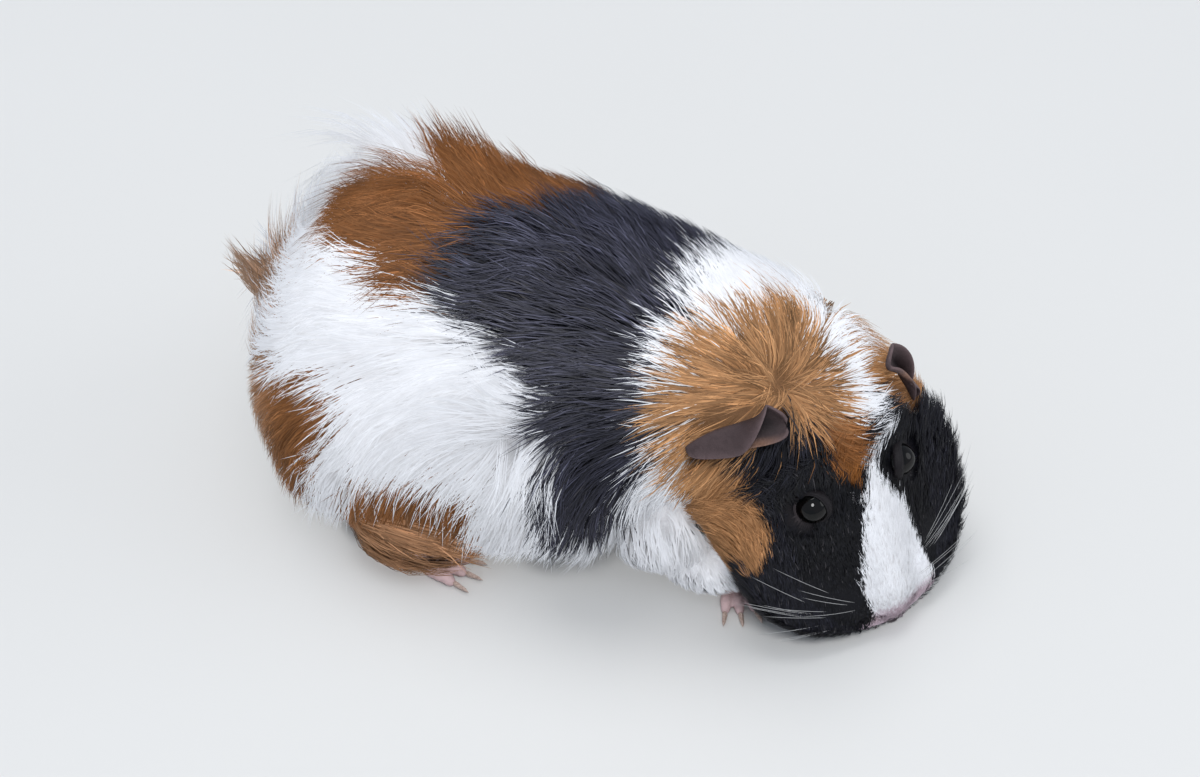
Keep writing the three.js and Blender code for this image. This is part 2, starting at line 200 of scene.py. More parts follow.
# The sockets: in front of the eye's widest ring the skin stays under the ball by the gap. Past the
# edge, an angle from the eye's axis, it may rise by a power of that angle, up to the end.
SOCKET = dict(gap=0.5, edge=70, span=40, rise=16, power=1.3, reach=16, fade=4, end=112)
for out in (-1, 1):
    spoke, far, angle = from_eye(skin, out)
    past = np.clip((angle - SOCKET["edge"]) / SOCKET["span"], 0, 1)
    limit = EYE_RADIUS - SOCKET["gap"] + SOCKET["rise"] * past ** SOCKET["power"]
    near = np.clip((SOCKET["reach"] - far) / SOCKET["fade"], 0, 1) * (angle < SOCKET["end"])
    skin = eye_centre[out] + spoke * (1 - near * (1 - np.minimum(1, limit / far)))[..., None]
# The cleft from the nose to the lip, and the mouth under it, which bends back to its corners.
CLEFT_START, CLEFT_DEPTH, CLEFT_WIDTH = 240, 0.9, 0.8
MOUTH_PLACE, MOUTH_BEND, MOUTH_DEPTH, MOUTH_WIDTH = 244.2, 2.6, 1.4, 0.9
off_line = (skin - NOSE) @ SIDE
front = np.clip((rows_s[:, None] - CLEFT_START) / 4, 0, 1)
front = front * (0.5 - 0.5 * np.tanh((np.sin(around) - 0.8) / 0.2))
skin = skin - form_n * (CLEFT_DEPTH * front * np.exp(-((off_line / CLEFT_WIDTH) ** 2)))[..., None]
mouth = MOUTH_PLACE - MOUTH_BEND * (np.abs(np.cos(around)) / 0.75) ** 2
lips = np.exp(-(((rows_s[:, None] - mouth) / MOUTH_WIDTH) ** 2)) * (np.sin(around) < -0.45)
skin = skin - form_n * (MOUTH_DEPTH * lips)[..., None]


def outwards(points, quads, tris):
    """The same faces turned to point outwards. Six times the volume is the sum of the corners'
    triple products over both halves of each square, and below zero the faces are turned round."""
    p = points - points.mean(0)
    q = p[quads]
    volume = (np.einsum("ij,ij->i", q[:, 0], np.cross(q[:, 1], q[:, 2])).sum()
              + np.einsum("ij,ij->i", q[:, 0], np.cross(q[:, 2], q[:, 3])).sum())
    if volume < 0:
        quads, tris = quads[:, ::-1], tris[:, ::-1]
    return points, quads, tris


def loft(rings, first=None, last=None):
    """A closed surface over rings of points: squares between the rings, and triangles to a point
    at each end, which is the ring's middle unless given."""
    rows, cols = rings.shape[:2]
    ends = [rings[0].mean(0) if first is None else first, rings[-1].mean(0) if last is None else last]
    points = np.concatenate([rings.reshape(-1, 3), np.array(ends)])
    k = np.arange(rows * cols).reshape(rows, cols)
    a, b, c, d = k[:-1], np.roll(k[:-1], -1, 1), np.roll(k[1:], -1, 1), k[1:]
    quads = np.stack([a, b, c, d], -1).reshape(-1, 4)
    ring = np.arange(cols)
    tris = np.concatenate([
        np.stack([np.full(cols, rows * cols), np.roll(ring, -1), ring], -1),
        np.stack([np.full(cols, rows * cols + 1), k[-1], np.roll(k[-1], -1)], -1)])
    return outwards(points, quads, tris)


def together(*solids):
    """Several closed surfaces as one list of points and faces."""
    points, quads, tris, start = [], [], [], 0
    for p, q, t in solids:
        points.append(p)
        quads.append(q + start)
        tris.append(t + start)
        start += len(p)
    return np.concatenate(points), np.concatenate(quads), np.concatenate(tris)


def set_points(mesh, points):
    """Puts points in millimetres on the coat's own axes into a mesh, in metres of the frame."""
    mesh.vertices.foreach_set("co", ((points + ORIGIN) * MM).astype(np.float32).ravel())


def new_object(name, points, quads, tris):
    """A smooth-shaded mesh object from points in millimetres on the coat's own axes."""
    mesh = bpy.data.meshes.new(name)
    corners = np.concatenate([quads.ravel(), tris.ravel()]).astype(np.int32)
    sizes = np.concatenate([np.full(len(quads), 4), np.full(len(tris), 3)])
    mesh.vertices.add(len(points))
    set_points(mesh, points)
    mesh.loops.add(len(corners))
    mesh.loops.foreach_set("vertex_index", corners)
    mesh.polygons.add(len(sizes))
    mesh.polygons.foreach_set("loop_start", (np.cumsum(sizes) - sizes).astype(np.int32))
    mesh.update(calc_edges=True)
    mesh.polygons.foreach_set("use_smooth", np.ones(len(sizes), bool))
    obj = bpy.data.objects.new(name, mesh)
    bpy.context.scene.collection.objects.link(obj)
    return obj


NOSE_DEPTH = 0.6
rump_pole = coat_form(np.float64(0), np.float64(0)) + [DEPTH[0, 1], 0, 0]
nose_pole = coat_form(np.float64(LENGTH), np.float64(0)) - NOSE_DEPTH * AHEAD
trunk = new_object("skin", *loft(skin, rump_pole, nose_pole))

# ---------------------------------------------------------------- legs and feet
# Short legs tucked under the coat: an egg for the upper leg and one for the lower. Each foot is a
# bare rounded sole with its toes fanned in front, four before and three behind.
LEGS = {                       # of the upper and the lower leg: centre, radii with the coat, yaw
    "fore_right": [[-76, -50, 27, 21, 20, 20, -10], [-61, -55, 12, 15, 9.5, 9, -5]],
    "fore_left": [[-70, 8, 27, 21, 20, 20, -20], [-56, 3, 12, 15, 9.5, 9, -25]],
    "hind_right": [[-150, -52, 30, 31, 23, 24, 0], [-157, -64, 14, 21, 13, 12, -6]],
    "hind_left": [[-150, 28, 30, 31, 23, 24, 0], [-157, 40, 14, 21, 13, 12, 6]],
}
LEG_COAT = [9.0, 3.5]          # depth of the coat on the upper and the lower leg
FEET = {                       # place of the sole's middle, and its yaw
    "fore_right": [-50.5, -52, -60], "fore_left": [-42, -3, -12],
    "hind_right": [-152, -66, -10], "hind_left": [-151, 42, 10],
}
FOOT = {                       # sole: length, half-width, height; toes: number, fan, length, radius
    "fore": dict(sole=9, half=5.2, high=5.0, toes=4, fan=15, toe=9.0, thick=2.0),
    "hind": dict(sole=19, half=6.2, high=6.0, toes=3, fan=12, toe=11.0, thick=2.5),
}
SOLE_CUT = 1.3                 # how far the rounded sole is pressed flat
HEEL_BACK, HEEL_RISE = 0.3, 1.5
TOE_ARCH, TOE_LIFT = 1.1, 0.4
TOE_STEPS = ((0, 1.0), (0.3, 1.0), (0.55, 1.06), (0.78, 0.9), (1, 1.0))    # share, swelling
SOLE_VOXEL, SOLE_REST = 0.0005, 0.02    # in metres, and in millimetres over the floor
UPRIGHT = np.array([0, 0, 1.0])


def egg(centre, radii, yaw, cols=40, rows=24):
    """An ellipsoid: sines and cosines of two angles times the radii, turned by the yaw."""
    u = np.linspace(0.06, np.pi - 0.06, rows)[:, None]
    v = (2 * np.pi * np.arange(cols) / cols)[None, :]
    x = radii[0] * np.cos(u) + 0 * v
    y = radii[1] * np.sin(u) * np.cos(v)
    z = radii[2] * np.sin(u) * np.sin(v)
    ahead, side, _ = heading(np.float64(yaw), np.float64(0))
    return loft(np.asarray(centre) + x[..., None] * ahead + y[..., None] * side
                + z[..., None] * UPRIGHT)


def finger(path, cols=16, rows=22):
    """A round tube along x, y, z, radius points, with its ends rounded by a sixth-power cap."""
    path = np.array(path, float)
    t = 0.5 - 0.5 * np.cos(np.pi * np.linspace(0.02, 0.98, rows))
    row = along(path, np.arange(len(path)), t * (len(path) - 1))
    reach = 2 * t - 1
    radius = row[:, 3] * np.sqrt(1 - np.abs(reach) ** 6)
    ahead = unit(np.gradient(row[:, :3], axis=0))
    side = unit(np.cross(UPRIGHT, ahead))
    up = np.cross(ahead, side)
    centre = row[:, :3] + ahead * (0.5 * row[:, 3] * reach * np.abs(reach) ** 5)[:, None]
    v = (2 * np.pi * np.arange(cols) / cols)[None, :, None]
    rings = centre[:, None] + radius[:, None, None] * (side[:, None] * np.cos(v) + up[:, None] * np.sin(v))
    return loft(rings)


upper, lower, feet = [], [], []
for name, (x, y, yaw) in FEET.items():
    size = FOOT[name[:4]]
    for eggs, part, coat in zip((upper, lower), LEGS[name], LEG_COAT):
        eggs.append(egg(part[:3], np.array(part[3:6]) - coat, part[6]))
    ahead, side, _ = heading(np.float64(yaw), np.float64(0))
    lift = size["high"] - SOLE_CUT
    heel = np.array([x, y, lift + HEEL_RISE]) - ahead * size["sole"] * HEEL_BACK
    feet.append(egg([x, y, lift], [size["sole"] / 2, size["half"], size["high"]], yaw))
    feet.append(egg(heel, [size["half"] + 1.5, size["half"] - 0.5, size["high"] + HEEL_RISE], yaw))
    for i in range(size["toes"]):
        share = i - (size["toes"] - 1) / 2
        toe = heading(np.float64(yaw + share * size["fan"]), np.float64(0))[0]
        root = np.array([x, y, 0]) + ahead * (size["sole"] / 2 - 2) + side * share * size["half"] * 0.5
        reach = size["toe"] * (1 - 0.12 * abs(share))
        steps = []
        for t, swell in TOE_STEPS:
            p = root + toe * reach * t
            z = size["thick"] - SOLE_CUT + TOE_ARCH * np.sin(np.pi * t) + TOE_LIFT
            steps.append([p[0], p[1], z, swell * size["thick"] * (1.08 - 0.25 * t)])
        feet.append(finger(steps))


def finished(obj, *modifiers):
    """The object's mesh with the modifiers worked in, in place of its own."""
    for kind, settings in modifiers:
        m = obj.modifiers.new(kind, kind)
        for key, value in settings.items():
            setattr(m, key, value)
    evaluated = obj.evaluated_get(bpy.context.evaluated_depsgraph_get())
    mesh = bpy.data.meshes.new_from_object(evaluated)
    obj.modifiers.clear()
    obj.data = mesh
    mesh.polygons.foreach_set("use_smooth", np.ones(len(mesh.polygons), bool))
    return obj


def points_of(obj):
    """An object's points in millimetres on the coat's own axes."""
    co = np.zeros(len(obj.data.vertices) * 3, np.float32)
    obj.data.vertices.foreach_get("co", co)
    return co.reshape(-1, 3).astype(float) * METRE - ORIGIN


feet_obj = finished(new_object("feet", *together(*feet)),
                    ("REMESH", dict(mode="VOXEL", voxel_size=SOLE_VOXEL)),
                    ("SMOOTH", dict(factor=0.5, iterations=4)))
foot_points = points_of(feet_obj)
foot_points[:, 2] = np.maximum(foot_points[:, 2], SOLE_REST)
set_points(feet_obj.data, foot_points)
upper_obj = new_object("upper_legs", *together(*upper))
lower_obj = new_object("lower_legs", *together(*lower))

# ---------------------------------------------------------------- ears and eyelids
# Ears are thin bare petals, rolled at the root and folded over along the upper edge. Eyelids are
# two soft rings round each eye: the rim that lies on the ball, and the fold outside it.
EAR_LENGTH, EAR_THICK, EAR_BURIED = 30.0, 0.45, 0.16
EAR_ABOVE, EAR_BELOW = 11.0, 7.4      # half-widths over and under the middle
EAR_FOLD, EAR_ROLL = 2.65, 1.30       # turns past the fold and at the root, in radians
EAR_SAG = 5.5                         # how far the tip droops
EAR_BEND, EAR_BEND_PLACE, EAR_BEND_RISE = 13, 0.38, 2.0
EAR_ROWS, EAR_COLUMNS = 56, 41
EARS = {
    "right": dict(root=[-42.5, -53.5, 75], way=[-24, -11, -2], face=[0.27, -0.81, 0.51],
                  fold=-1, size=1.0),
    "left": dict(root=[-13.5, -17, 71], way=[8, 13, -17], face=[0.75, 0.48, 0.40],
                 fold=1, size=0.78),
}
EAR_GREY, EAR_LOBE = np.array([0.072, 0.050, 0.052]), np.array([0.26, 0.15, 0.11])
# the near-black of the ear's hollow is painted shade
EAR_HOLLOW_SHADE = np.array([0.012, 0.008, 0.009])
# Eyelid rings: angle off the eye's axis, lean to the corners, height over the ball, half-sizes.
LIDS = {
    "eyelid_rims": (73, 6, 0.15, (0.34, 0.55)),
    "eyelid_folds": (85, 5, 0.35, (0.70, 1.4)),
}


def ear_frame(root, way, face, **others):
    """The ear's root, and its unit directions along, across and off its face."""
    way, face = unit(np.array(way, float)), np.array(face, float)
    face = unit(face - face @ way * way)
    return np.array(root, float), way, np.cross(face, way), face


def ear_bend(v, fold):
    """How far the ear's middle lies away from the fold: the bend times the square of the length
    from the bend's place, less its rise."""
    return -fold * (EAR_BEND * (v - EAR_BEND_PLACE) ** 2 - EAR_BEND_RISE)


def ear_sheet(root, way, face, fold, size):
    """A petal over its length v and its width q. Its half-width is the sine of the length to a
    power. Across, the sheet turns by an angle that grows with the distance from its middle, and
    by far more past the fold; adding up the cosine and sine of that angle gives its place."""
    root, way, across, face = ear_frame(root, way, face)
    v = np.linspace(0.004, 0.996, EAR_ROWS)[:, None]
    q = np.cos(np.linspace(0, np.pi, EAR_COLUMNS))[None, :]
    upper = fold * q
    half = size * np.sin(np.pi * v**0.8) ** 0.36 * np.where(upper > 0, EAR_ABOVE, EAR_BELOW)
    over = np.clip((upper + 0.05) / 0.42, 0, 1)
    over = over**2 * (3 - 2 * over) * EAR_FOLD * np.clip((v - 0.19) / 0.36, 0, 1) ** 0.8
    turn = (EAR_ROLL * (1 - v) ** 1.1 + 0.22) * q + fold * over + 0.10 * np.sin(9 * v + 4 * q)
    dq = np.diff(q, axis=1, prepend=q[:, :1])
    y = np.cumsum(np.cos(turn) * dq, 1)
    z = np.cumsum(np.sin(turn) * dq, 1)
    middle = EAR_COLUMNS // 2
    y, z = half * (y - y[:, middle:middle + 1]), half * (z - z[:, middle:middle + 1])
    y = y + size * ear_bend(v, fold)
    z = z + size * (1.2 - EAR_SAG * v**2) + 0.35 * np.sin(7 * v + 2.5 * q)
    sheet = (root + way * size * EAR_LENGTH * (v - EAR_BURIED)[..., None] + across * y[..., None]
             + face * z[..., None])
    normal = unit(np.cross(np.gradient(sheet, axis=1), np.gradient(sheet, axis=0)))
    thick = EAR_THICK * (1.9 - 1.2 * v) * np.sqrt(np.clip(1 - q**2, 0, 1)) ** 0.6
    high, low = sheet + normal * thick[..., None], sheet - normal * thick[..., None]
    # Painted shade in the hollow, flesh-coloured on the lobe and greyer to the rims.
    hollow_shade = (np.exp(-(((v - 0.25) / 0.20) ** 2 + ((upper - 0.05) / 0.55) ** 2)))[..., None]
    lobe = (np.clip(-upper - 0.55, 0, 0.3) / 0.3 * np.exp(-(((v - 0.30) / 0.16) ** 2)))[..., None]
    tones = EAR_GREY * (1 + 0.9 * np.abs(q) ** 6)[..., None]
    tones = tones + (EAR_HOLLOW_SHADE - tones) * hollow_shade
    tones = tones + (EAR_LOBE - tones) * lobe
    tones = np.concatenate([tones, tones[:, -2:0:-1]], 1).reshape(-1, 3)
    return (loft(np.concatenate([high, low[:, -2:0:-1]], 1)),
            np.concatenate([tones, [EAR_GREY, EAR_GREY]]))


def eyelid(out, tilt, lean, height, half):
    """A ring on the eyeball: at each turn it stands off the eye's axis by the tilt, wider towards
    the corners by the lean, and its section is an ellipse of half-sizes off and along the ball."""
    axis = eye_axis[out]
    u = (2 * np.pi * np.arange(72) / 72)[:, None]
    e1 = unit(AHEAD - AHEAD @ axis * axis)
    e2 = np.cross(axis, e1) * out
    off = np.radians(tilt + lean * np.cos(2 * u) - 4 * np.sin(u))
    radial = np.cos(u) * e1 + np.sin(u) * e2
    spoke = np.cos(off) * axis + np.sin(off) * radial
    slope = -np.sin(off) * axis + np.cos(off) * radial
    v = (2 * np.pi * np.arange(20) / 20)[None, :, None]
    rings = eye_centre[out] + spoke[:, None] * (EYE_RADIUS + height + half[0] * np.cos(v))
    rings = rings + slope[:, None] * half[1] * np.sin(v)
    rows, cols = rings.shape[:2]
    k = np.arange(rows * cols).reshape(rows, cols)
    after = np.roll(k, -1, 0)
    quads = np.stack([k, np.roll(k, -1, 1), np.roll(after, -1, 1), after], -1).reshape(-1, 4)
    return outwards(rings.reshape(-1, 3), quads, np.zeros((0, 3), int))


ears = [ear_sheet(**ear) for ear in EARS.values()]
ears_obj = new_object("ears", *together(*[ear[0] for ear in ears]))
rims_obj, folds_obj = [
    new_object(name, *together(*[eyelid(out, *ring) for out in (-1, 1)]))
    for name, ring in LIDS.items()]

# ---------------------------------------------------------------- markings
# White, chestnut and black, in patches with ragged edges. Each patch is an outline in distance
# from the rump and angle from the spine, and a later one covers an earlier one.
WHITE, BROWN, BLACK = 0, 1, 2
LEG_COLOURS = [WHITE, BLACK, BROWN, WHITE]    # in the order of LEGS
PATCHES = [
    (BLACK, [(70, 34), (88, 42), (104, 47), (114, 56), (121, 70), (120, 88), (118, 98), (130, 104),
             (146, 104), (155, 100), (158, 80), (154, 60), (148, 47), (141, 24), (142, 9),
             (139, -17), (141, -44), (147, -72), (143, -118), (116, -118), (112, -80), (108, -52),
             (106, -32), (99, -13), (83, -1), (77, 14), (71, 28)]),
    (BROWN, [(26, 8), (35, 22), (46, 28), (61, 36), (70, 37), (73, 34), (71, 28), (77, 14),
             (83, -1), (99, -13), (106, -32), (108, -52), (96, -64), (72, -60), (58, -40),
             (55, -20), (42, -14), (27, -5)]),
    (BLACK, [(179, 12), (177.5, 20), (175.5, 28), (177, 36), (179, 43), (177, 51), (184, 53),
             (195, 48), (207, 48), (216, 68), (208, 93), (217, 104), (224, 130), (227, 181),
             (250, 181), (250, -181), (208, -181), (204, -120), (196, -95), (188, -60), (184, -25),
             (187, -15), (187, -4), (180, -6)]),
    (BROWN, [(158, -28), (152, -2), (148, 15), (149, 35), (151, 52), (162, 67), (179, 94),
             (190, 114), (202, 128), (214, 118), (217, 104), (208, 93), (216, 68), (207, 48),
             (195, 48), (184, 53), (177, 51), (179, 43), (177, 36), (175.5, 28), (177.5, 20),
             (182, 15), (187, 15), (196, 11), (201, 2), (195, -4), (187, -4), (180, -6), (174, -9),
             (167, -18)]),
    (BROWN, [(160, -46), (167, -44), (170, -40), (177, -23), (184, -25), (189, -36), (190, -58),
             (192, -92), (176, -104), (160, -76)]),
    (WHITE, [(190, -25), (190.6, -14), (193, -9), (197, -5), (203, -0.5), (207, 3), (212, 6),
             (217, 9), (224, 11), (230, 14), (236, 16), (241, 17), (245, 23), (248, 60), (250, 70),
             (250, -60), (247, -60), (245, -50), (240, -37), (232, -27), (223, -23), (214, -21.5),
             (207.6, -14), (202.5, -10), (199, -8), (195.6, -11.5), (194, -17.5), (192, -28)]),
    (BROWN, [(-1, -10), (6, 0), (12, 12), (13, 42), (6, 50), (-1, 50)]),
    (BROWN, [(12, 63), (33, 60), (41, 64), (46, 71), (44, 82), (35, 93), (30, 115), (-1, 115),
             (-1, 60)]),
    (BROWN, [(10, -62), (28, -56), (38, -70), (33, -104), (6, -108), (-1, -62)]),
    (BROWN, [(48, 95), (66, 88), (90, 92), (86, 130), (50, 130)]),
]


def marking(s, psi):
    """Which colour lies at distance s and angle psi: a point is inside an outline where a line
    from it crosses the edges an odd number of times."""
    found = np.zeros(np.shape(s), int)
    for colour, outline in PATCHES:
        x, y = np.array(outline, float).T
        inside = np.zeros(np.shape(s), bool)
        for x0, y0, x1, y1 in zip(x, y, np.roll(x, -1), np.roll(y, -1)):
            if y0 != y1:
                crossed = (y0 > psi) != (y1 > psi)
                inside ^= crossed & (s < x0 + (psi - y0) * (x1 - x0) / (y1 - y0))
        found[inside] = colour
    return found


# The blue tints of the white and the black are painted skylight, and part of the black's lightness is a
# painted sheen over near-black hair.
TONES = np.array([[0.875, 0.885, 0.92], [0.32, 0.14, 0.055], [0.033, 0.033, 0.050]])
# Each colour changes from the rump to the nose: the brown is rusty behind, golden on the neck and
# crown and deep on the forelock; the black is deepest on the face. One row for each distance.
SHADES = np.array([   # distance, brown red, green, blue, black
    [0, 0.50, 0.330, 0.230, 1.0], [13, 0.34, 0.180, 0.095, 1.0], [24, 0.225, 0.095, 0.034, 1.0],
    [110, 0.19, 0.076, 0.026, 1.1], [150, 0.40, 0.215, 0.100, 0.9], [180, 0.41, 0.215, 0.098, 0.33],
    [188, 0.25, 0.100, 0.034, 0.22], [197, 0.22, 0.082, 0.020, 0.12],
    [215, 0.22, 0.082, 0.020, 0.12], [249, 0.22, 0.082, 0.020, 0.14],
])
NECK_SHADE = 182                      # low on the neck the shades stop changing here
SKIN_PINK, NOSE_PINK = [0.62, 0.45, 0.45], [0.60, 0.36, 0.34]
LID_GREY, LID_PALE = np.array([0.012, 0.010, 0.012]), np.array([0.075, 0.062, 0.066])
LILAC = np.array([0.62, 0.49, 0.56])  # the bare lip under the nose


def coat_tone(kind, s, psi):
    """The colour of the coat: the patch's tone, with its change along the body. Low on the neck
    the brown keeps the crown's gold, and the black has a painted sheen: paler on the back than low
    on the flank. The white is painted lighter on the face, turns to lilac on the lip and has painted shade
    in the nostrils."""
    shaded_at = np.where(np.abs(psi) > 40, np.minimum(s, NECK_SHADE), s)
    shades = [np.interp(shaded_at, SHADES[:, 0], SHADES[:, k]) for k in range(1, 5)]
    tone = TONES[kind]
    tone = np.where((kind == BROWN)[..., None], np.stack(shades[:3], -1), tone)
    # painted sheen: the black is lighter on the back, which faces the light from above, and darker low on
    # the flank
    painted_top_sheen = np.where(s < 170, np.interp(np.abs(psi), [25, 80], [1.16, 0.80]), 1.0)
    tone = np.where((kind == BLACK)[..., None], tone * (shades[3] * painted_top_sheen)[..., None], tone)
    # painted light: the white is lighter on the face than on the body
    white = tone * np.interp(s, [190, 205], [0.97, 1.05])[..., None]
    lip = np.clip((s - 241.0) / 2.5, 0, 1) * np.clip((60 - np.abs(psi)) / 15, 0, 1)
    white = white + (LILAC - white) * lip[..., None]
    # painted shade: the white is darkened in the nostril openings
    painted_nostril_shade = np.exp(-(((s - 244.4) / 0.9) ** 2 + ((np.abs(psi) - 20) / 8) ** 2))
    white = white * (1 - 0.9 * painted_nostril_shade)[..., None]
    return np.where((kind == WHITE)[..., None], white, tone)


def paint(obj, colours):
    """Stores a colour for each point of a mesh, as its tone."""
    layer = obj.data.color_attributes.new("tone", "FLOAT_COLOR", "POINT")
    rgba = np.ones((len(colours), 4), np.float32)
    rgba[:, :3] = colours
    layer.data.foreach_set("color", rgba.ravel())


psi_grid = (np.degrees(around) - 90 + 180) % 360 - 180
s_grid, psi_grid = rows_s[:, None] + 0 * around, psi_grid + 0 * rows_s[:, None]
tones = coat_tone(marking(s_grid, psi_grid), s_grid, psi_grid).reshape(-1, 3)
# painted shade under the coat: the skin is half as bright under the long hair of the body, full on the
# face, and nearly full under the white
shade = np.repeat(np.interp(rows_s, [0, 180, 198, 249], [0.5, 0.5, 1, 1]), len(around))[:, None]
shade = np.where(tones[:, :1] > 0.7, 0.95, shade)
paint(trunk, np.concatenate([tones * shade, [TONES[WHITE], NOSE_PINK]]))
leg_tones = np.repeat(TONES[LEG_COLOURS], len(upper_obj.data.vertices) // len(LEGS), 0)
paint(upper_obj, leg_tones)
paint(lower_obj, leg_tones)
paint(feet_obj, np.tile(SKIN_PINK, (len(feet_obj.data.vertices), 1)))
paint(ears_obj, np.concatenate([ear[1] for ear in ears]))
paint(rims_obj, np.tile(LID_GREY, (len(rims_obj.data.vertices), 1)))
paint(folds_obj, np.tile(LID_GREY, (len(folds_obj.data.vertices), 1)))
others = (upper_obj, lower_obj, feet_obj, ears_obj, folds_obj, rims_obj)
finished(trunk, *[("BOOLEAN", dict(operation="UNION", solver="MANIFOLD", object=other))
                  for other in others])
for other in others:
    bpy.data.objects.remove(other)
# The lids are dark, and pale along the lower rim, which lies close to the ball.
RIM_HEIGHT = 0.6
layer = trunk.data.attributes["tone"]
rgba = np.zeros(4 * len(trunk.data.vertices), np.float32)
layer.data.foreach_get("color", rgba)
rgba = rgba.reshape(-1, 4)
for out in (-1, 1):
    spoke, far, _ = from_eye(points_of(trunk), out)
    down = np.cross(eye_axis[out], unit(AHEAD - AHEAD @ eye_axis[out] * eye_axis[out])) * out
    low_lid = np.clip(spoke @ down / far, 0, 1) ** 1.5 * (far < EYE_RADIUS + RIM_HEIGHT)
    lid = LID_GREY + (LID_PALE - LID_GREY) * low_lid[:, None]
    rgba[:, :3] = np.where((far < LID_REACH)[:, None], lid, rgba[:, :3])
layer.data.foreach_set("color", rgba.ravel())


# ---------------------------------------------------------------- skin finish
# Thin, soft skin, in the colour of the coat over it where it is haired, pink and creased on the
# feet and dark on the ears and lids. One skin stands for all the solids of flesh.
class Wire:
    """A socket of a node tree: arithmetic on it adds Math nodes, and node() adds any other."""

    def __init__(self, tree, socket=None):
        self.tree, self.socket = tree, socket

    def node(self, kind, inputs=(), out=0, **settings):
        """A new node: its settings first, then the value or the link of each socket."""
        node = self.tree.nodes.new(kind)
        stops = settings.pop("stops", None)
        for key, value in settings.items():
            setattr(node, key, value)
        if stops:
            ramp = node.color_ramp.elements
            while len(ramp) < len(stops):
                ramp.new(0.5)
            for element, (place, colour) in zip(ramp, stops):
                element.position, element.color = place, (*colour, 1)
        for key, value in dict(inputs).items():
            if isinstance(value, Wire):
                self.tree.links.new(value.socket, node.inputs[key])
            else:
                node.inputs[key].default_value = value
        return Wire(self.tree, node.outputs[out])

    def math(self, operation, a, b):
        """A Math node on two values or links."""
        return self.node("ShaderNodeMath", {0: a, 1: b}, operation=operation)

    def __add__(self, other):
        return self.math("ADD", self, other)

    def __mul__(self, other):
        return self.math("MULTIPLY", self, other)

    __radd__, __rmul__ = __add__, __mul__

    def mix(self, share, first, second, blend="MIX"):
        """A colour mixed from two by a share: the node's sockets 6 and 7, and its output 2."""
        return self.node("ShaderNodeMix", {0: share, 6: first, 7: second}, 2,
                         data_type="RGBA", blend_type=blend)

    def tone(self):
        """The colour that is stored at the points of the mesh."""
        return self.node("ShaderNodeAttribute", attribute_name="tone")

    def place(self):
        """The place on the object, which is output 3 of the node."""
        return self.node("ShaderNodeTexCoord", out=3)

    def ramp(self, share, *stops):
        """A colour from stops of a place and a colour each."""
        return self.node("ShaderNodeValToRGB", {0: share}, stops=stops)


def new_material(name, **constants):
    """A material with its Principled shader, whose unvarying sockets are set here."""
    material = bpy.data.materials.new(name)
    material.use_nodes = True
    shader = material.node_tree.nodes["Principled BSDF"]
    for key, value in constants.items():
        shader.inputs[key.replace("_", " ")].default_value = value
    return material, Wire(material.node_tree), shader


def connect(wires, shader, **links):
    """Links wires to the shader's sockets by name."""
    for key, wire in links.items():
        wires.tree.links.new(wire.socket, shader.inputs[key.replace("_", " ")])


skin_material, w, shader = new_material("animal_skin", IOR=1.42, Specular_IOR_Level=0.25)
tone, place = w.tone(), w.place()
mottle = w.node("ShaderNodeTexNoise", {
    "Vector": place, "Scale": 420.0, "Detail": 4.0, "Roughness": 0.6})
pores = w.node("ShaderNodeTexVoronoi", {"Vector": place, "Scale": 1500.0})
creases = w.node("ShaderNodeTexNoise", {
    "Vector": place, "Scale": 1400.0, "Detail": 3.0, "Distortion": 0.8})
patchy = w.ramp(mottle, (0.25, (0.45, 0.42, 0.42)), (0.55, (0.9, 0.88, 0.88)), (0.8, (1, 1, 1)))
shaded = w.mix(0.55, tone, patchy, "MULTIPLY")
relief = pores * 0.5 + creases
bump = w.node("ShaderNodeBump", {"Strength": 0.35, "Distance": 0.0004, "Height": relief})
connect(w, shader, Base_Color=shaded, Roughness=0.48 + mottle * 0.2, Normal=bump)
trunk.data.materials.clear()
trunk.data.materials.append(skin_material)
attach(trunk, "root")
flesh = [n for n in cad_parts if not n.startswith(("eye_", "claw_"))]
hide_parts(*flesh)

# ---------------------------------------------------------------- eyes
# Full, dark, wet eyes: a ball with a slightly raised cornea, a nearly black iris and a round
# pupil, set in the socket behind the lids.
CORNEA_RISE, CORNEA_SPREAD = 0.05, 0.55     # share of the radius, and angle in radians
IRIS_TONE, PUPIL_TONE = np.array([[0.0030, 0.0018, 0.0016]]), 0.0012
for out, name in ((-1, "right"), (1, "left")):
    axis, centre = eye_axis[out], eye_centre[out]
    e1 = unit(AHEAD - AHEAD @ axis * axis)
    e2 = np.cross(axis, e1)
    # A sphere of two angles, the first from the axis, where a bell curve raises it.
    u = np.linspace(0.03, np.pi - 0.03, 40)[:, None, None]
    v = (2 * np.pi * np.arange(64) / 64)[None, :, None]
    radius = EYE_RADIUS * (1 + CORNEA_RISE * np.exp(-((u / CORNEA_SPREAD) ** 2)))
    ball = new_object("eyeball_" + name, *loft(
        centre + radius * (np.cos(u) * axis + np.sin(u) * (np.cos(v) * e1 + np.sin(v) * e2))))
    off = 1 - (unit(points_of(ball) - centre) @ axis)
    iris = np.clip((off - 0.10) / 0.02, 0, 1) * (1 - np.clip((off - 0.42) / 0.10, 0, 1))
    paint(ball, iris[:, None] * IRIS_TONE + PUPIL_TONE)
    eye_material, w, shader = new_material(
        "eye_" + name, IOR=1.5, Specular_IOR_Level=0.0, Coat_Weight=0.55, Coat_Roughness=0.02)
    tone = w.tone()
    fibres = w.node("ShaderNodeTexNoise", {"Vector": w.place(), "Scale": 900.0})
    connect(w, shader, Base_Color=w.mix(fibres * 0.6, tone, (0.001, 0.001, 0.001, 1)),
            Roughness=0.04 + fibres * 0.05)
    ball.data.materials.append(eye_material)
    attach(ball, "root")
    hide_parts("eye_" + name)

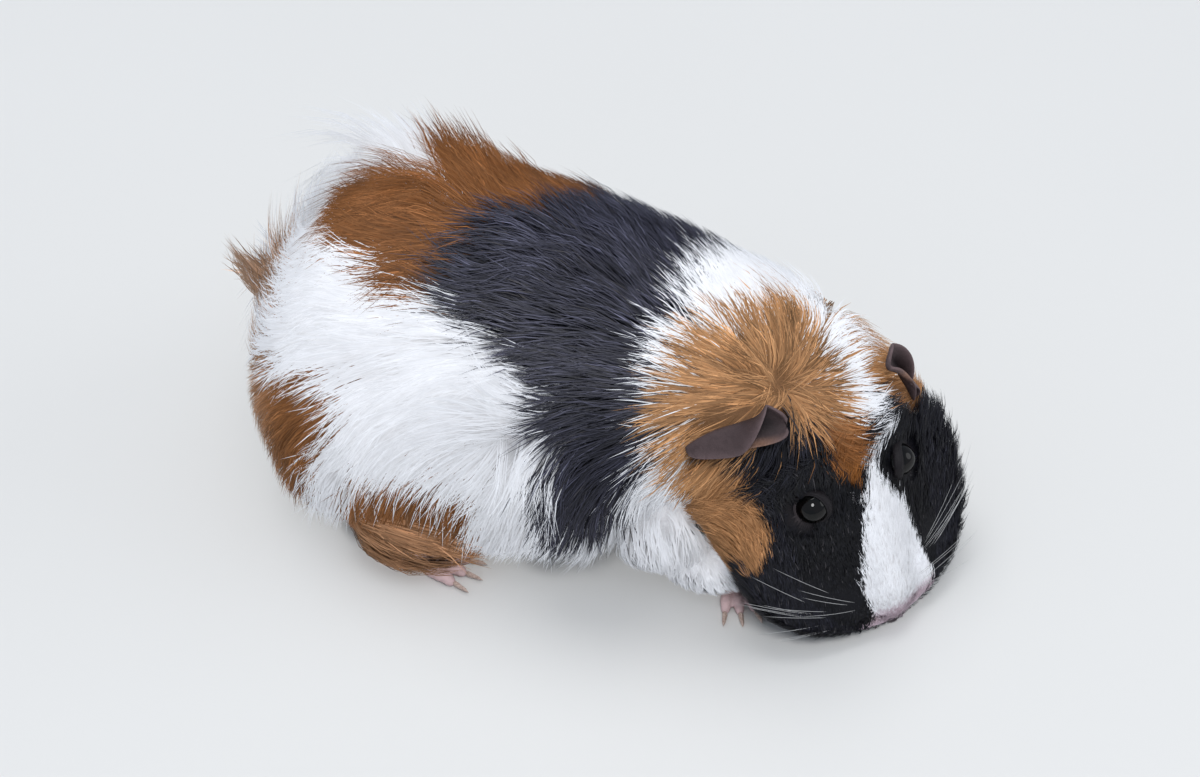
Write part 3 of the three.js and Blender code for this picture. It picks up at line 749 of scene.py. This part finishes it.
# ---------------------------------------------------------------- claws
# Short blunt claws of brown horn with a fine grain, at the tips of the toes. They keep the
# solids' own shape.
claw_material, w, shader = new_material("claw_horn", IOR=1.54)
grain = w.node("ShaderNodeTexNoise", {"Vector": w.place(), "Scale": 1800.0, "Detail": 3.0})
connect(w, shader, Base_Color=w.ramp(grain, (0.3, (0.30, 0.20, 0.16)), (0.7, (0.56, 0.44, 0.38))),
        Roughness=0.28 + grain * 0.2)
for name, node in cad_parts.items():
    if name.startswith("claw_"):
        node.data.materials.clear()
        node.data.materials.append(claw_material)

# ---------------------------------------------------------------- lie of the coat
# The coat grows in rosettes: the hair turns outwards from each crown and stands up in a ridge
# where two flows meet. Elsewhere it lies backwards and hangs on the flanks, and on the face it
# lies back from the nose.
ROSETTES = [   # distance, angle, radius, strength
    (170, 13, 36, 1.8), (160, -52, 26, 1.2), (101, 76, 20, 0.6), (100, -70, 28, 0.5),
    (48, -20, 22, 0.4),
]
TUFTS = [      # root, direction, radius, strength, lift, extra length, share of the locks
    ([-175, 22, 88], [-7, 8, 15], 10, 3.0, 1.00, 0.45, 0.80),
    ([-192, 8, 86], [-10, 8, 12], 14, 2.5, 0.75, 0.0, 0.15),
    ([-163, 12, 95], [-4, 10, 14], 15, 2.0, 0.70, 0.05, 0.9),
    ([-146, 12, 93], [-3, 10, 13], 15, 1.8, 0.72, 0.10, 0.9),
    ([-127, 12, 90], [-3, 9, 11], 13, 1.4, 0.55, 0.10, 0.85),
    ([-212, -24, 58], [-14, 2, 6], 12.5, 4.0, 0.95, 0.12, 0.90),
    ([-204, -12, 68], [-9, 5, 12], 9, 2.5, 0.50, 0.0, 0.45),
]
HAIR = np.array([   # distance, length on the back, the flank and the belly
    [0, 33, 31, 15], [18, 33, 31, 15], [50, 30, 31, 14], [84, 27, 30, 13], [114, 25, 27, 13],
    [140, 23, 27, 18], [163, 22, 25, 15], [175, 19, 22, 12], [183, 17, 18, 12], [190, 12, 15, 10],
    [199, 8, 12, 9], [212, 5.2, 10, 8], [230, 4.2, 7, 6], [240, 3.2, 4.2, 4], [249, 2.0, 2.0, 2],
])
rosette_at = [at(form, np.float64(r[0]), np.float64(r[1])) for r in ROSETTES]
FACE_START, FACE_SPAN = 187, 10           # over this stretch the lie turns to that of the face
SIDE_START, SIDE_SPAN = 35, 60            # over these angles, to that of the flank
HANG_TOP, HANG_SIDE = 0.15, 2.2           # how far the hair hangs, against its backward lie
BACKWARD, BACKWARD_FACE, WANDER = 0.30, 4, 0.16
WHORL_RADIUS, STAND_UNDER = 9, 0.72
RIGHT_CHEEK, LEFT_CHEEK = 0.16, 0.95      # how far the hair of the cheeks stands up
LIE_STEP = 12                             # the length over which the lie's turn is measured
DRIFT_SEED = 7
LOCK_TURN, HAIR_TURN = 0.10, 0.07         # random turns of locks and of hairs, in radians
LOCK_LENGTH, SHORTEST, LONGEST = 0.08, 0.78, 1.10
FLOOR_GAP = 0.35                          # of the lowest hairs over the floor


def flat(v, n):
    """The part of a vector that lies in the surface."""
    return v - np.sum(v * n, -1, keepdims=True) * n


def drift(p):
    """A slow wandering of the lie: five sine waves in space, each along its own direction."""
    rng = np.random.default_rng(DRIFT_SEED)
    total = np.zeros_like(p)
    for size in (55, 38, 27, 19, 14):
        way, phase = unit(rng.normal(0, 1, (3, 3))), rng.uniform(0, 6, 3)
        total = total + np.sin(p @ way.T * (2 * np.pi / size) + phase)
    return total / 5


def lie(p, n, s, psi, luck):
    """The direction of the hair, how far it stands up, and its extra length: the sum of the
    backward lie, the hang of the flank, the turn away from each rosette with a bell-shaped weight,
    and the tufts, which take only a share of the locks. Where they cancel, the hair stands."""
    row = along(STATIONS, DISTANCE, s)
    ahead = heading(row[..., 3], row[..., 4])[0]
    face = np.clip((s - FACE_START) / FACE_SPAN, 0, 1)
    face = face * face * (3 - 2 * face)
    side = np.clip((np.abs(psi) - SIDE_START) / SIDE_SPAN, 0, 1)
    hang = (HANG_TOP + HANG_SIDE * side**1.5) * (1 - 0.8 * face)
    base = flat(-ahead, n) + hang[..., None] * flat(-UPRIGHT, n)
    weight = BACKWARD + BACKWARD_FACE * face
    total = base * weight[..., None] + WANDER * (1 + 2 * face[..., None]) * flat(drift(p), n)
    for centre, (_, _, radius, strength) in zip(rosette_at, ROSETTES):
        out = flat(p - centre, n)
        far = np.linalg.norm(p - centre, axis=-1)
        share = strength * np.exp(-((far / radius) ** 2))
        swirl = ((4 * luck - 2) * np.exp(-((far / WHORL_RADIUS) ** 2)))[..., None]
        out = np.cos(swirl) * out + np.sin(swirl) * np.cross(n, out)
        total = total + share[..., None] * out / (np.linalg.norm(out, axis=-1, keepdims=True) + 2)
        weight = weight + share
    stand = 0.5 * np.clip(STAND_UNDER - np.linalg.norm(total, axis=-1) / weight, 0, 1)
    cheek = face * side * np.clip((240 - s) / 12, 0, 1)
    stand = stand + np.where(psi < 0, LEFT_CHEEK, RIGHT_CHEEK) * luck * cheek
    extra = np.zeros_like(stand)
    for root, way, radius, strength, lift, longer, share in TUFTS:
        bell = np.exp(-((np.linalg.norm(p - np.array(root, float), axis=-1) / radius) ** 2))
        bell = bell * (luck < share)
        total = total + (strength * bell)[..., None] * flat(unit(np.array(way, float)), n)
        stand = stand + lift * bell
        extra = extra + longer * bell
    return unit(total), np.clip(stand, 0, 1), extra


def strand_paths(seed, roots, steps):
    """The middle lines of many hairs. Each lock of hairs starts on the skin, rises to the coat's
    surface by one minus a power of what is left, and follows the body's curve as an arc; its hairs
    start spread over the lock and close up to its tip. Sizes in millimetres."""
    rng = np.random.default_rng(seed)
    p, n, t, curve, bend, deep, long, stand, spread, hairs = roots
    m = len(p)
    g = np.cross(n, t)
    tau = np.linspace(0, 1, steps + 1) ** 0.9
    jitter = rng.normal(0, LOCK_TURN, (m, 1)) + rng.normal(0, HAIR_TURN, (m, hairs))
    length = long[:, None] * (1 + rng.normal(0, LOCK_LENGTH, (m, 1)))
    length = length * rng.uniform(SHORTEST, LONGEST, (m, hairs))
    rise = deep[:, None] * (1.04 - 0.42 * rng.uniform(0, 1, (m, hairs)) ** 2.2)
    upright = np.clip(stand[:, None] + rng.normal(0, 0.05, (m, 1)), 0, 1)
    rise = rise + upright * np.clip(0.85 * length - rise, 0, None)
    rise = np.minimum(rise, 0.96 * length)
    run = np.sqrt(np.maximum(length**2 - rise**2, (0.2 * length) ** 2))
    power = (1.9 - 0.7 * stand)[:, None, None]
    turn = np.where(np.abs(curve) < 2e-4, 2e-4, np.clip(curve, -0.012, 0.05))[:, None, None]
    x = run[..., None] * tau
    h = rise[..., None] * (1 - (1 - tau) ** power)
    c, s = np.cos(jitter)[..., None, None], np.sin(jitter)[..., None, None]
    way = c * t[:, None, None] + s * g[:, None, None]
    cross = c * g[:, None, None] - s * t[:, None, None]
    near = 1 / turn - deep[:, None, None] + h
    line = (p[:, None, None] + way * (near * np.sin(x * turn))[..., None]
            + n[:, None, None] * (near * np.cos(x * turn) - 1 / turn)[..., None])
    wave = rng.normal(0, 0.05, (m, hairs, 1)) * x * np.sin(3 * tau + rng.uniform(0, 6, (m, hairs, 1)))
    line = line + cross * (0.5 * bend[:, None, None] / LIE_STEP * x**2 + wave)[..., None]
    disc = rng.normal(0, 0.5, (m, hairs, 2)) * spread[:, None, None]
    close = (1 - 0.8 * tau**1.2)[None, None, :, None]
    line = line + close * (disc[..., :1, None] * t[:, None, None] + disc[..., 1:, None] * g[:, None, None])
    # Near the floor the height becomes the logarithm of one plus its exponential.
    z = line[..., 2] - FLOOR_GAP
    line[..., 2] = FLOOR_GAP + np.where(z > 12, z, np.log1p(np.exp(np.clip(z, -40, 12))))
    return line.reshape(-1, steps + 1, 3), np.repeat(n, hairs, 0), run.reshape(-1)


HAIR_PATCH, MAP_EDGE, MAP_SPAN = 0.003, 0.01, 0.975    # on the OFBake map


def hair_object(name, line, normal, width, tones, where):
    """Hairs as closed three-sided spindles along their middle lines, in one mesh: pointed at both
    ends and widest past the middle. Their shading follows the coat's own surface. Each hair is a
    small patch of the OFBake map at its root's place, with its three sides lying side by side."""
    count, steps = line.shape[0], line.shape[1] - 1
    ahead = unit(np.gradient(line, axis=1))
    across = unit(np.cross(normal[:, None], ahead))
    above = np.cross(ahead, across)
    tau = np.linspace(0, 1, steps + 1)[None, 1:steps, None]
    half = 0.5 * width[:, None, None] * (0.8 + 0.7 * tau - 1.1 * tau**3)
    mid, ax, ab = line[:, 1:steps], across[:, 1:steps], above[:, 1:steps]
    ring = np.stack([mid - ax * half, mid + ax * half, mid + ab * half * 0.6], 2)
    points = np.concatenate([line[:, :1], ring.reshape(count, steps * 3 - 3, 3), line[:, steps:]], 1)
    each = steps * 3 - 1
    heels = [[0, 1 + (a + 1) % 3, 1 + a] for a in range(3)]
    quads = [[3 * k + 1 + a, 3 * k + 1 + (a + 1) % 3, 3 * k + 4 + (a + 1) % 3, 3 * k + 4 + a]
             for k in range(steps - 2) for a in range(3)]
    last = 3 * (steps - 2) + 1
    tips = [[last + a, last + (a + 1) % 3, each - 1] for a in range(3)]
    start = (np.arange(count) * each)[:, None, None]
    quads_all = (np.array(quads, int).reshape(1, -1, 4) + start).reshape(-1, 4)
    tris_all = (np.array(heels + tips)[None] + start).reshape(-1, 3)
    obj = new_object(name, points.reshape(-1, 3), quads_all, tris_all)
    inner = np.repeat(np.arange(1, steps), 3)
    order = np.concatenate([[0], inner, [steps]])
    paint(obj, tones[:, order].reshape(-1, 3))
    shade = unit(0.45 * above + normal[:, None])[:, order].reshape(-1, 3)
    layer = obj.data.attributes.new("custom_normal", "FLOAT_VECTOR", "POINT")
    layer.data.foreach_set("vector", shade.astype(np.float32).ravel())
    quad_uv = [[(a / 3, k + 1), ((a + 1) / 3, k + 1), ((a + 1) / 3, k + 2), (a / 3, k + 2)]
               for k in range(steps - 2) for a in range(3)]
    tri_uv = [[((a + 0.5) / 3, 0), ((a + 1) / 3, 1), (a / 3, 1)] for a in range(3)] + [
        [(a / 3, steps - 1), ((a + 1) / 3, steps - 1), ((a + 0.5) / 3, steps)] for a in range(3)]
    size = np.array([HAIR_PATCH, HAIR_PATCH / steps])
    low, high = where.min(0), where.max(0)
    corner = MAP_EDGE + MAP_SPAN * (where - low) / (high - low)
    uv = np.concatenate([
        (np.array(quad_uv).reshape(1, -1, 2) * size + corner[:, None]).reshape(-1, 2),
        (np.array(tri_uv).reshape(1, -1, 2) * size + corner[:, None]).reshape(-1, 2)])
    obj.data.uv_layers.new(name="OFBake").data.foreach_set("uv", uv.astype(np.float32).ravel())
    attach(obj, "root")
    return obj


def plant(seed, count, density, hairs, spread):
    """Places for locks over the body, more where the density is higher: a cell of the body grid is
    picked by its area times its density, and a point in it at random. The turn and the curve of
    the lie are those between a lock's root and the place one step along its hair."""
    rng = np.random.default_rng(seed)
    a = np.linalg.norm(np.cross(form_s, form_a), axis=-1) * np.gradient(rows_s)[:, None] * density
    share = np.cumsum(a.ravel())
    cell = np.searchsorted(share, rng.uniform(0, share[-1], count))
    i = np.clip(cell // len(around) + rng.uniform(-0.5, 0.5, count), 0, len(rows_s) - 1.001)
    s = np.interp(i, np.arange(len(rows_s)), rows_s)
    psi = (cell % len(around) + rng.uniform(-0.5, 0.5, count)) / len(around) * 360 - 90
    psi = (psi + 180) % 360 - 180
    luck = rng.uniform(0, 1, count)
    p, n = at(form, s, psi), unit(at(form_n, s, psi))
    t, stand, extra = lie(p, n, s, psi, luck)
    ps, pa = at(form_s, s, psi), at(form_a, s, psi)
    ss, sa, aa = np.sum(ps * ps, -1), np.sum(ps * pa, -1), np.sum(pa * pa, -1)
    ts, ta = np.sum(t * ps, -1), np.sum(t * pa, -1)
    det = np.maximum(ss * aa - sa * sa, 1e-6)
    ds, da = (ts * aa - ta * sa) / det, (ta * ss - ts * sa) / det
    s2 = np.clip(s + LIE_STEP * ds, rows_s[0], rows_s[-1])
    psi2 = psi + np.clip(np.degrees(LIE_STEP * da), -60, 60)
    n2 = unit(at(form_n, s2, psi2))
    t2 = lie(at(form, s2, psi2), n2, s2, (psi2 + 180) % 360 - 180, luck)[0]
    g = np.cross(n, t)
    bend = np.clip(np.sum(t2 * g, -1), -0.7, 0.7)
    curve = np.sum((n2 - n) * t, -1) / LIE_STEP
    deep = np.maximum(at(depth, s, psi), 0.5)
    weight = np.clip(np.cos(np.radians(psi)), 0, 1) ** 2, np.clip(-np.cos(np.radians(psi)), 0, 1) ** 2
    tops = [np.interp(s, HAIR[:, 0], HAIR[:, k]) for k in (1, 2, 3)]
    long = tops[0] * weight[0] + tops[2] * weight[1] + tops[1] * (1 - weight[0] - weight[1])
    long = long * (1 + extra)
    roots = (p, n, t, curve, bend, deep, long, stand, np.full(count, spread), hairs)
    return roots, s, psi, ds, np.degrees(da)


EYE_OPENING = 64                            # degrees off the eye's axis
EAR_OPEN, EAR_HALF, EAR_FRONT = (0.36, 1.03), 8, 12    # shares of the length, and millimetres


def clear(line):
    """Which hairs stay off the eyes' openings and off the ears' faces: none of their points and
    of the middles between them lies inside the eye's cone or the ear's box."""
    fine = np.concatenate([line, 0.5 * (line[:, 1:] + line[:, :-1])], 1)
    keep = np.ones(len(line), bool)
    for out in (-1, 1):
        _, far, angle = from_eye(fine, out)
        keep &= ~((angle < EYE_OPENING) & (far < LID_REACH)).any(1)
    for ear in EARS.values():
        root, way, across, face = ear_frame(**ear)
        v = (fine - root) @ way / EAR_LENGTH / ear["size"] + EAR_BURIED
        y = (fine - root) @ across - ear_bend(v, ear["fold"])
        z = (fine - root) @ face
        inside = (v > EAR_OPEN[0]) & (v < EAR_OPEN[1]) & (np.abs(y) < EAR_HALF * ear["size"])
        inside &= (z > -1.0 - EAR_SAG * v**2) & (z < EAR_FRONT)
        keep &= ~inside.any(1)
    return keep


LEG_HAIR = {   # its lie, its length and its lift, each on the upper and on the lower leg
    "fore_right": ([[0.3, -0.35, -0.9], [0.5, -0.3, -0.8]], [17, 6], [0.06, 0.06]),
    "fore_left": ([[-0.6, 0.2, -0.9], [-0.2, 0.2, -0.9]], [22, 12], [0.06, 0.06]),
    "hind_right": ([[0.30, -0.30, -0.9], [1.0, -0.05, -0.16]], [32, 26], [0.12, 0.20]),
    "hind_left": ([[-0.6, 0.2, -0.8], [-0.3, 0.3, -0.7]], [22, 14], [0.06, 0.06]),
}


def plant_leg(seed, name, part, count, hairs, spread):
    """Roots of locks on an egg of a leg, outside the trunk's form: the unit normal is the egg's
    gradient, and the curve along the lie is the egg's own curvature in that direction."""
    rng = np.random.default_rng(seed)
    way, long, lift = [pair[part] for pair in LEG_HAIR[name]]
    x, y, z, *radii, yaw = LEGS[name][part]
    radii, axes = np.array(radii), np.stack(heading(np.float64(yaw), np.float64(0)))
    ball = unit(rng.normal(0, 1, (count, 3)))
    p = np.array([x, y, z]) + (ball * radii) @ axes
    n = unit((ball / radii) @ axes)
    coarse, coarse_n = form[::2, ::4].reshape(-1, 3), form_n[::2, ::4].reshape(-1, 3)
    near = np.argmin((coarse**2).sum(-1) - 2 * p @ coarse.T, 1)
    out = np.sum((p - coarse[near]) * coarse_n[near], -1)
    keep = (out > -2.5) & (p[:, 2] > 1.5) & (ball[:, 0] > -0.75)
    p, n, ball = p[keep], n[keep], ball[keep]
    t = unit(flat(unit(np.array(way)) + 0.2 * drift(p), n))
    local = t @ axes.T
    curve = np.sum(local**2 / radii**2, -1) / np.linalg.norm(ball / radii, axis=-1)
    size = len(p)
    ends = np.clip(p[:, 2] / 9, 0.35, 1)
    roots = (p, n, t, np.clip(curve, 0, 0.05), np.zeros(size), np.full(size, LEG_COAT[part]) * ends,
             long * ends, np.full(size, lift), np.full(size, spread), hairs)
    where = np.stack([np.arctan2(ball[:, 1], ball[:, 0]), ball[:, 2] + 2.2 * part], -1)
    return roots, where


crown_at, CROWN_RADIUS = at(form, np.float64(168), np.float64(4)), 24
TICKED_SHARE, PALE_SHARE, PALE_TONE = 0.35, 0.02, np.array([0.06, 0.055, 0.06])
# hairs are darker at the root: partly their own undercolour, partly painted shade among the roots
ROOT_SHADE = np.array([0.80, 0.45, 0.70])     # white, brown and black
VARIETY = np.array([[0.03, 0.04], [0.19, 0.24], [0.26, 0.45]])    # by lock and by hair


def hair_tones(seed, kind, steps, where, hairs, s, psi):
    """The colour of each hair along its length: the patch's tone times the exponential of a random
    number for the lock and one for the hair, deeper at the root, with some dark-tipped hairs on
    the crown and a few pale ones in the black."""
    rng = np.random.default_rng(seed)
    tau = np.linspace(0, 1, steps + 1)
    count = len(kind)
    lock = np.repeat(rng.normal(0, 1, count // hairs), hairs)
    hair = rng.normal(0, 1, count)
    bright = np.exp(VARIETY[kind, 0] * lock + VARIETY[kind, 1] * hair)
    root = ROOT_SHADE[kind][:, None]
    ramp = root + (1 - root) * np.clip(tau / 0.45, 0, 1)
    tones = coat_tone(kind, s, psi)[:, None] * (bright[:, None] * ramp)[..., None]
    crown = np.linalg.norm(where - crown_at, axis=-1) < CROWN_RADIUS
    ticked = (kind == BROWN) & crown & (rng.uniform(0, 1, count) < TICKED_SHARE)
    dark = np.clip((tau - 0.5) / 0.3, 0, 1)[None, :, None] * ticked[:, None, None]
    tones = tones * (1 - 0.85 * dark)
    pale = (kind == BLACK) & (rng.uniform(0, 1, count) < PALE_SHARE)
    return np.where(pale[:, None, None], PALE_TONE, tones)


# ---------------------------------------------------------------- coat
# Long soft hair over the whole body, in locks that overlap and start on the skin: coat, face,
# muzzle and legs, and short hairs round the eyelids. Each colour has its own pieces.
coat_materials = {}
for name, rough, spec in (("white", 0.55, 0.15), ("brown", 0.50, 0.14), ("black", 0.40, 0.26)):
    material, w, shader = new_material("coat_" + name, Specular_IOR_Level=spec)
    tone = w.tone()
    streak = w.node("ShaderNodeTexNoise", {"Vector": w.place(), "Scale": 160.0, "Detail": 2.0})
    streaked = w.ramp(streak, (0.3, (0.7, 0.7, 0.7)), (0.7, (1, 1, 1)))
    connect(w, shader, Base_Color=w.mix(0.25, tone, streaked, "MULTIPLY"),
            Roughness=rough + 0.15 * streak)
    coat_materials[name] = material

body_density = np.interp(rows_s, [0, 175, 186, 192, 249], [1, 1, 0.9, 0.12, 0])[:, None]
body_density = body_density * np.where(np.sin(around) < -0.75, 0.45, 1.0)[None, :]
for s, psi, _, strength in ROSETTES:
    far = np.linalg.norm(form - at(form, np.float64(s), np.float64(psi)), axis=-1)
    body_density = body_density * (1 + 2.2 * strength * np.exp(-((far / 7) ** 2)))
chin = np.where(np.sin(around) < -0.6, 0.5, 1.0)[None, :]
face_density = np.interp(rows_s, [0, 180, 192, 200, 212, 221], [0, 0, 0.55, 1, 1, 0])[:, None] * chin
muzzle_density = np.interp(rows_s, [0, 206, 218, 249], [0, 0, 1, 1.3])[:, None] * chin
PER_PIECE, FEWEST = 190000, 20    # triangles in a piece, and hairs that are worth one
PATH_SEED, WIDTH_SEED, TONE_SEED = 20, 40, 60    # added to the seed of a group


def hair_pieces(group, hair, width, kind, where, hairs, seed, s, psi, kept):
    """Pieces of the coat from the middle lines and normals of hairs, in their colours: as many for
    each colour as its triangles over the most that a piece may have, rounded up."""
    line, normal = hair
    steps = line.shape[1] - 1
    tones = hair_tones(seed + TONE_SEED, kind, steps, line[:, steps], hairs, s,
                       (psi + 180) % 360 - 180)
    for colour, name in enumerate(("white", "brown", "black")):
        mine = np.flatnonzero((kind == colour) & kept)
        if len(mine) < FEWEST:
            continue
        parts = max(1, -(-len(mine) * (6 * steps - 6) // PER_PIECE))
        for k in range(parts):
            pick = mine[k::parts]
            piece = hair_object(f"{group}_{name}_{k + 1}", line[pick], normal[pick], width[pick],
                                tones[pick], where[pick])
            piece.data.materials.append(coat_materials[name])
            piece.visible_shadow = name == "black"    # light passes through pale hair


# Group, seed, locks, density, hairs in a lock, spread of their roots, steps along a hair, least
# and greatest width, and how far a hair's colour may come from beside its place.
for group, seed, locks, density, hairs, spread, steps, wide, wander in (
        ("coat", 11, 6800, body_density, 12, 2.2, 3, (0.24, 0.38), 1.0),
        ("face", 12, 5200, face_density, 3, 0.8, 3, (0.20, 0.30), 0.35),
        ("muzzle", 13, 11000, muzzle_density, 3, 0.7, 2, (0.18, 0.28), 0.35)):
    roots, s, psi, ds, da = plant(seed, locks, density, hairs, spread)
    line, normal, run = strand_paths(seed + PATH_SEED, roots, steps)
    rng = np.random.default_rng(seed + WIDTH_SEED)
    count = len(run)
    s, psi, ds, da = (np.repeat(a, hairs) for a in (s, psi, ds, da))
    # A hair has the colour of the patch under its middle.
    s_seen = s + ds * run * 0.5 + wander * rng.normal(0, 2.2, count)
    psi_seen = psi + da * run * 0.5 + wander * rng.normal(0, 2.4, count)
    kind = marking(s_seen, (psi_seen + 180) % 360 - 180)
    hair_pieces(group, (line, normal), rng.uniform(*wide, count), kind, np.stack([s, psi], -1),
                hairs, seed, s_seen, psi_seen, clear(line))

LEG_LOCKS, LEG_HAIRS, LEG_SPREAD = 420, 7, 1.8      # on each half of a leg, and in a lock
LEG_S, LEG_PSI = 14.0, 90.0                         # the leg has the shades of this place
LEG_SEED, LEG_TONE_SEED = 90, 131
lines, normals, kinds, places = [], [], [], []
for k, name in enumerate(LEGS):
    for part in (0, 1):
        seed = LEG_SEED + 2 * k + part
        roots, where = plant_leg(seed, name, part, LEG_LOCKS, LEG_HAIRS, LEG_SPREAD)
        line, normal, run = strand_paths(seed + PATH_SEED, roots, 3)
        lines.append(line)
        normals.append(normal)
        kinds.append(np.full(len(run), LEG_COLOURS[k]))
        places.append(np.repeat(where + [7 * (k // 2), 0], LEG_HAIRS, 0))
kind = np.concatenate(kinds)
width = np.random.default_rng(LEG_SEED + WIDTH_SEED).uniform(0.26, 0.40, len(kind))
hair_pieces("legs", (np.concatenate(lines), np.concatenate(normals)), width, kind,
            np.concatenate(places), LEG_HAIRS, LEG_TONE_SEED, np.full(len(kind), LEG_S),
            np.full(len(kind), LEG_PSI), np.full(len(kind), True))

# Short hairs round the eyelids, turned away from the eye and longer with the distance from it.
LID_HAIRS, LID_LENGTH, LID_GROWTH = 2400, 2.4, 0.40
LID_EDGE, LID_END, LID_NEAR, LID_FAR = 73, 122, 6.5, 17    # degrees off the axis, millimetres
LID_SEED = 141
rng = np.random.default_rng(LID_SEED)
lines, normals, places = [], [], []
skin_s, skin_a = np.gradient(skin, axis=0), np.roll(skin, -1, 1) - np.roll(skin, 1, 1)
skin_up = np.cross(skin_a, skin_s)
skin_area = np.linalg.norm(skin_up, axis=-1).ravel()
for out in (-1, 1):
    spoke, far, angle = from_eye(skin, out)
    ring = ((angle > LID_EDGE) | (far > LID_NEAR)) & (angle < LID_END) & (far < LID_FAR)
    cells = np.flatnonzero(ring)
    cell = rng.choice(cells, LID_HAIRS, p=skin_area[cells] / skin_area[cells].sum())
    p = skin.reshape(-1, 3)[cell]
    p = p + rng.uniform(-0.5, 0.5, (LID_HAIRS, 1)) * skin_s.reshape(-1, 3)[cell]
    p = p + rng.uniform(-0.25, 0.25, (LID_HAIRS, 1)) * skin_a.reshape(-1, 3)[cell]
    away = unit(spoke.reshape(-1, 3)[cell])
    reach = LID_LENGTH + LID_GROWTH * np.clip(far.ravel()[cell] - 5, 0, 12)
    n = unit(unit(skin_up.reshape(-1, 3)[cell]) + 0.2 * away)
    t = unit(flat(1.6 * away - 0.9 * AHEAD, n))
    curve, bend, deep, stand, spread = [np.full(LID_HAIRS, a) for a in (0.03, 0.0, 1.0, 0.08, 0.3)]
    long = reach * rng.uniform(0.8, 1.2, LID_HAIRS)
    roots = (p + 0.6 * n, n, t, curve, bend, deep, long, stand, spread, 1)
    line, normal, _ = strand_paths(LID_SEED + 1 + out, roots, 2)
    lines.append(line)
    normals.append(normal)
    places.append(np.stack([s_grid.ravel()[cell], psi_grid.ravel()[cell]], -1))
places = np.concatenate(places)
kind = marking(*places.T)
hair_pieces("lids", (np.concatenate(lines), np.concatenate(normals)),
            rng.uniform(0.16, 0.24, len(kind)), kind, places, 1, LID_SEED + 4, *places.T,
            np.full(len(kind), True))

# ---------------------------------------------------------------- whiskers
# Long springy whiskers beside the nose, as single hairs rooted in the skin that spread to the
# side and back and sag a little to their tips.
WHISKERS, WHISKER_POINTS = 14, 8                     # on each side, and along each
WHISKER_WIDTH, WHISKER_TONE, WHISKER_REST = 0.12, 0.42, 0.5
WHISKER_SEED = 151
rng = np.random.default_rng(WHISKER_SEED)
side = np.repeat([-1.0, 1.0], WHISKERS)
forward, low = rng.uniform(0, 1, (2, 2 * WHISKERS))
s, psi = 230 + 12 * forward, -side * (19 + 33 * low)
long = rng.uniform(18, 31, 2 * WHISKERS)
back, rise = 0.95 - 0.80 * forward, 0.60 - 0.70 * low
way = unit(side[:, None] * SIDE - back[:, None] * AHEAD + rise[:, None] * UP
           + rng.normal(0, 0.05, (2 * WHISKERS, 3)))
t = np.linspace(0, 1, WHISKER_POINTS)[None, :, None]
root = at(skin, s, psi) - 0.4 * unit(at(form_n, s, psi))
line = root[:, None] + long[:, None, None] * (way[:, None] * t - (0.14 * AHEAD + [0, 0, 0.10]) * t**2)
line[..., 2] = np.maximum(line[..., 2], WHISKER_REST)
whiskers = hair_object("whiskers", line, np.tile(UP, (2 * WHISKERS, 1)),
                       np.full(2 * WHISKERS, WHISKER_WIDTH),
                       np.full((2 * WHISKERS, WHISKER_POINTS, 3), WHISKER_TONE),
                       np.stack([s, psi], -1))
whisker_material, w, shader = new_material("whisker_hair", Specular_IOR_Level=0.3)
connect(w, shader, Base_Color=w.tone())
whiskers.data.materials.append(whisker_material)
whiskers.visible_shadow = False

# ---------------------------------------------------------------- floor, lights and camera
# A plain pale floor, a soft key lamp in front of the animal, a wide one over it and a weaker one
# beside it, and a camera that looks down from the front.
bpy.ops.mesh.primitive_plane_add(size=8, location=(0, 0, 0))
floor = bpy.context.object
floor.name = "floor"
floor_material, w, shader = new_material("floor_paint", Roughness=0.85)
cloud = w.node("ShaderNodeTexNoise", {"Vector": w.place(), "Scale": 3.0})
connect(w, shader, Base_Color=w.mix(cloud, (0.66, 0.655, 0.64, 1), (0.70, 0.695, 0.68, 1)))
floor.data.materials.append(floor_material)
world = bpy.data.worlds.new("studio")
bpy.context.scene.world = world
world.use_nodes = True
world.node_tree.nodes["Background"].inputs[0].default_value = (0.80, 0.88, 1.0, 1)
world.node_tree.nodes["Background"].inputs[1].default_value = 0.55
for name, place, aim, size, power in (    # places and sizes in metres, power in watts
        ("key", (0.35, -0.9, 1.5), (0.0, 0.0, 0.04), 0.55, 13.8),
        ("top", (-0.3, 0.5, 1.6), (0.0, 0.0, 0.05), 1.2, 11.2),
        ("fill", (1.5, 0.4, 0.7), (0.0, 0.0, 0.04), 1.0, 4)):
    lamp = bpy.data.lights.new(name, "AREA")
    lamp.shape, lamp.size, lamp.energy = "DISK", size, power
    lamp_obj = bpy.data.objects.new(name, lamp)
    lamp_obj.location = place
    lamp_obj.rotation_euler = (Vector(aim) - Vector(place)).to_track_quat("-Z", "Y").to_euler()
    bpy.context.scene.collection.objects.link(lamp_obj)

CAMERA_TARGET, CAMERA_DISTANCE = Vector((0.003085, -0.005, 0.040)), 1.040
CAMERA_TURN, CAMERA_HEIGHT = np.radians(15), np.radians(45)
view = bpy.data.cameras.new("camera")
view.lens, view.sensor_width = 100.0, 36.0
view.clip_start, view.clip_end = 0.05, 20.0
camera = bpy.data.objects.new("camera", view)
level = np.cos(CAMERA_HEIGHT)
back = Vector((np.sin(CAMERA_TURN) * level, -np.cos(CAMERA_TURN) * level, np.sin(CAMERA_HEIGHT)))
camera.location = CAMERA_TARGET + back * CAMERA_DISTANCE
camera.rotation_euler = (-back).to_track_quat("-Z", "Y").to_euler()
bpy.context.scene.collection.objects.link(camera)
bpy.context.scene.camera = camera
bpy.context.scene.view_settings.view_transform = "Standard"
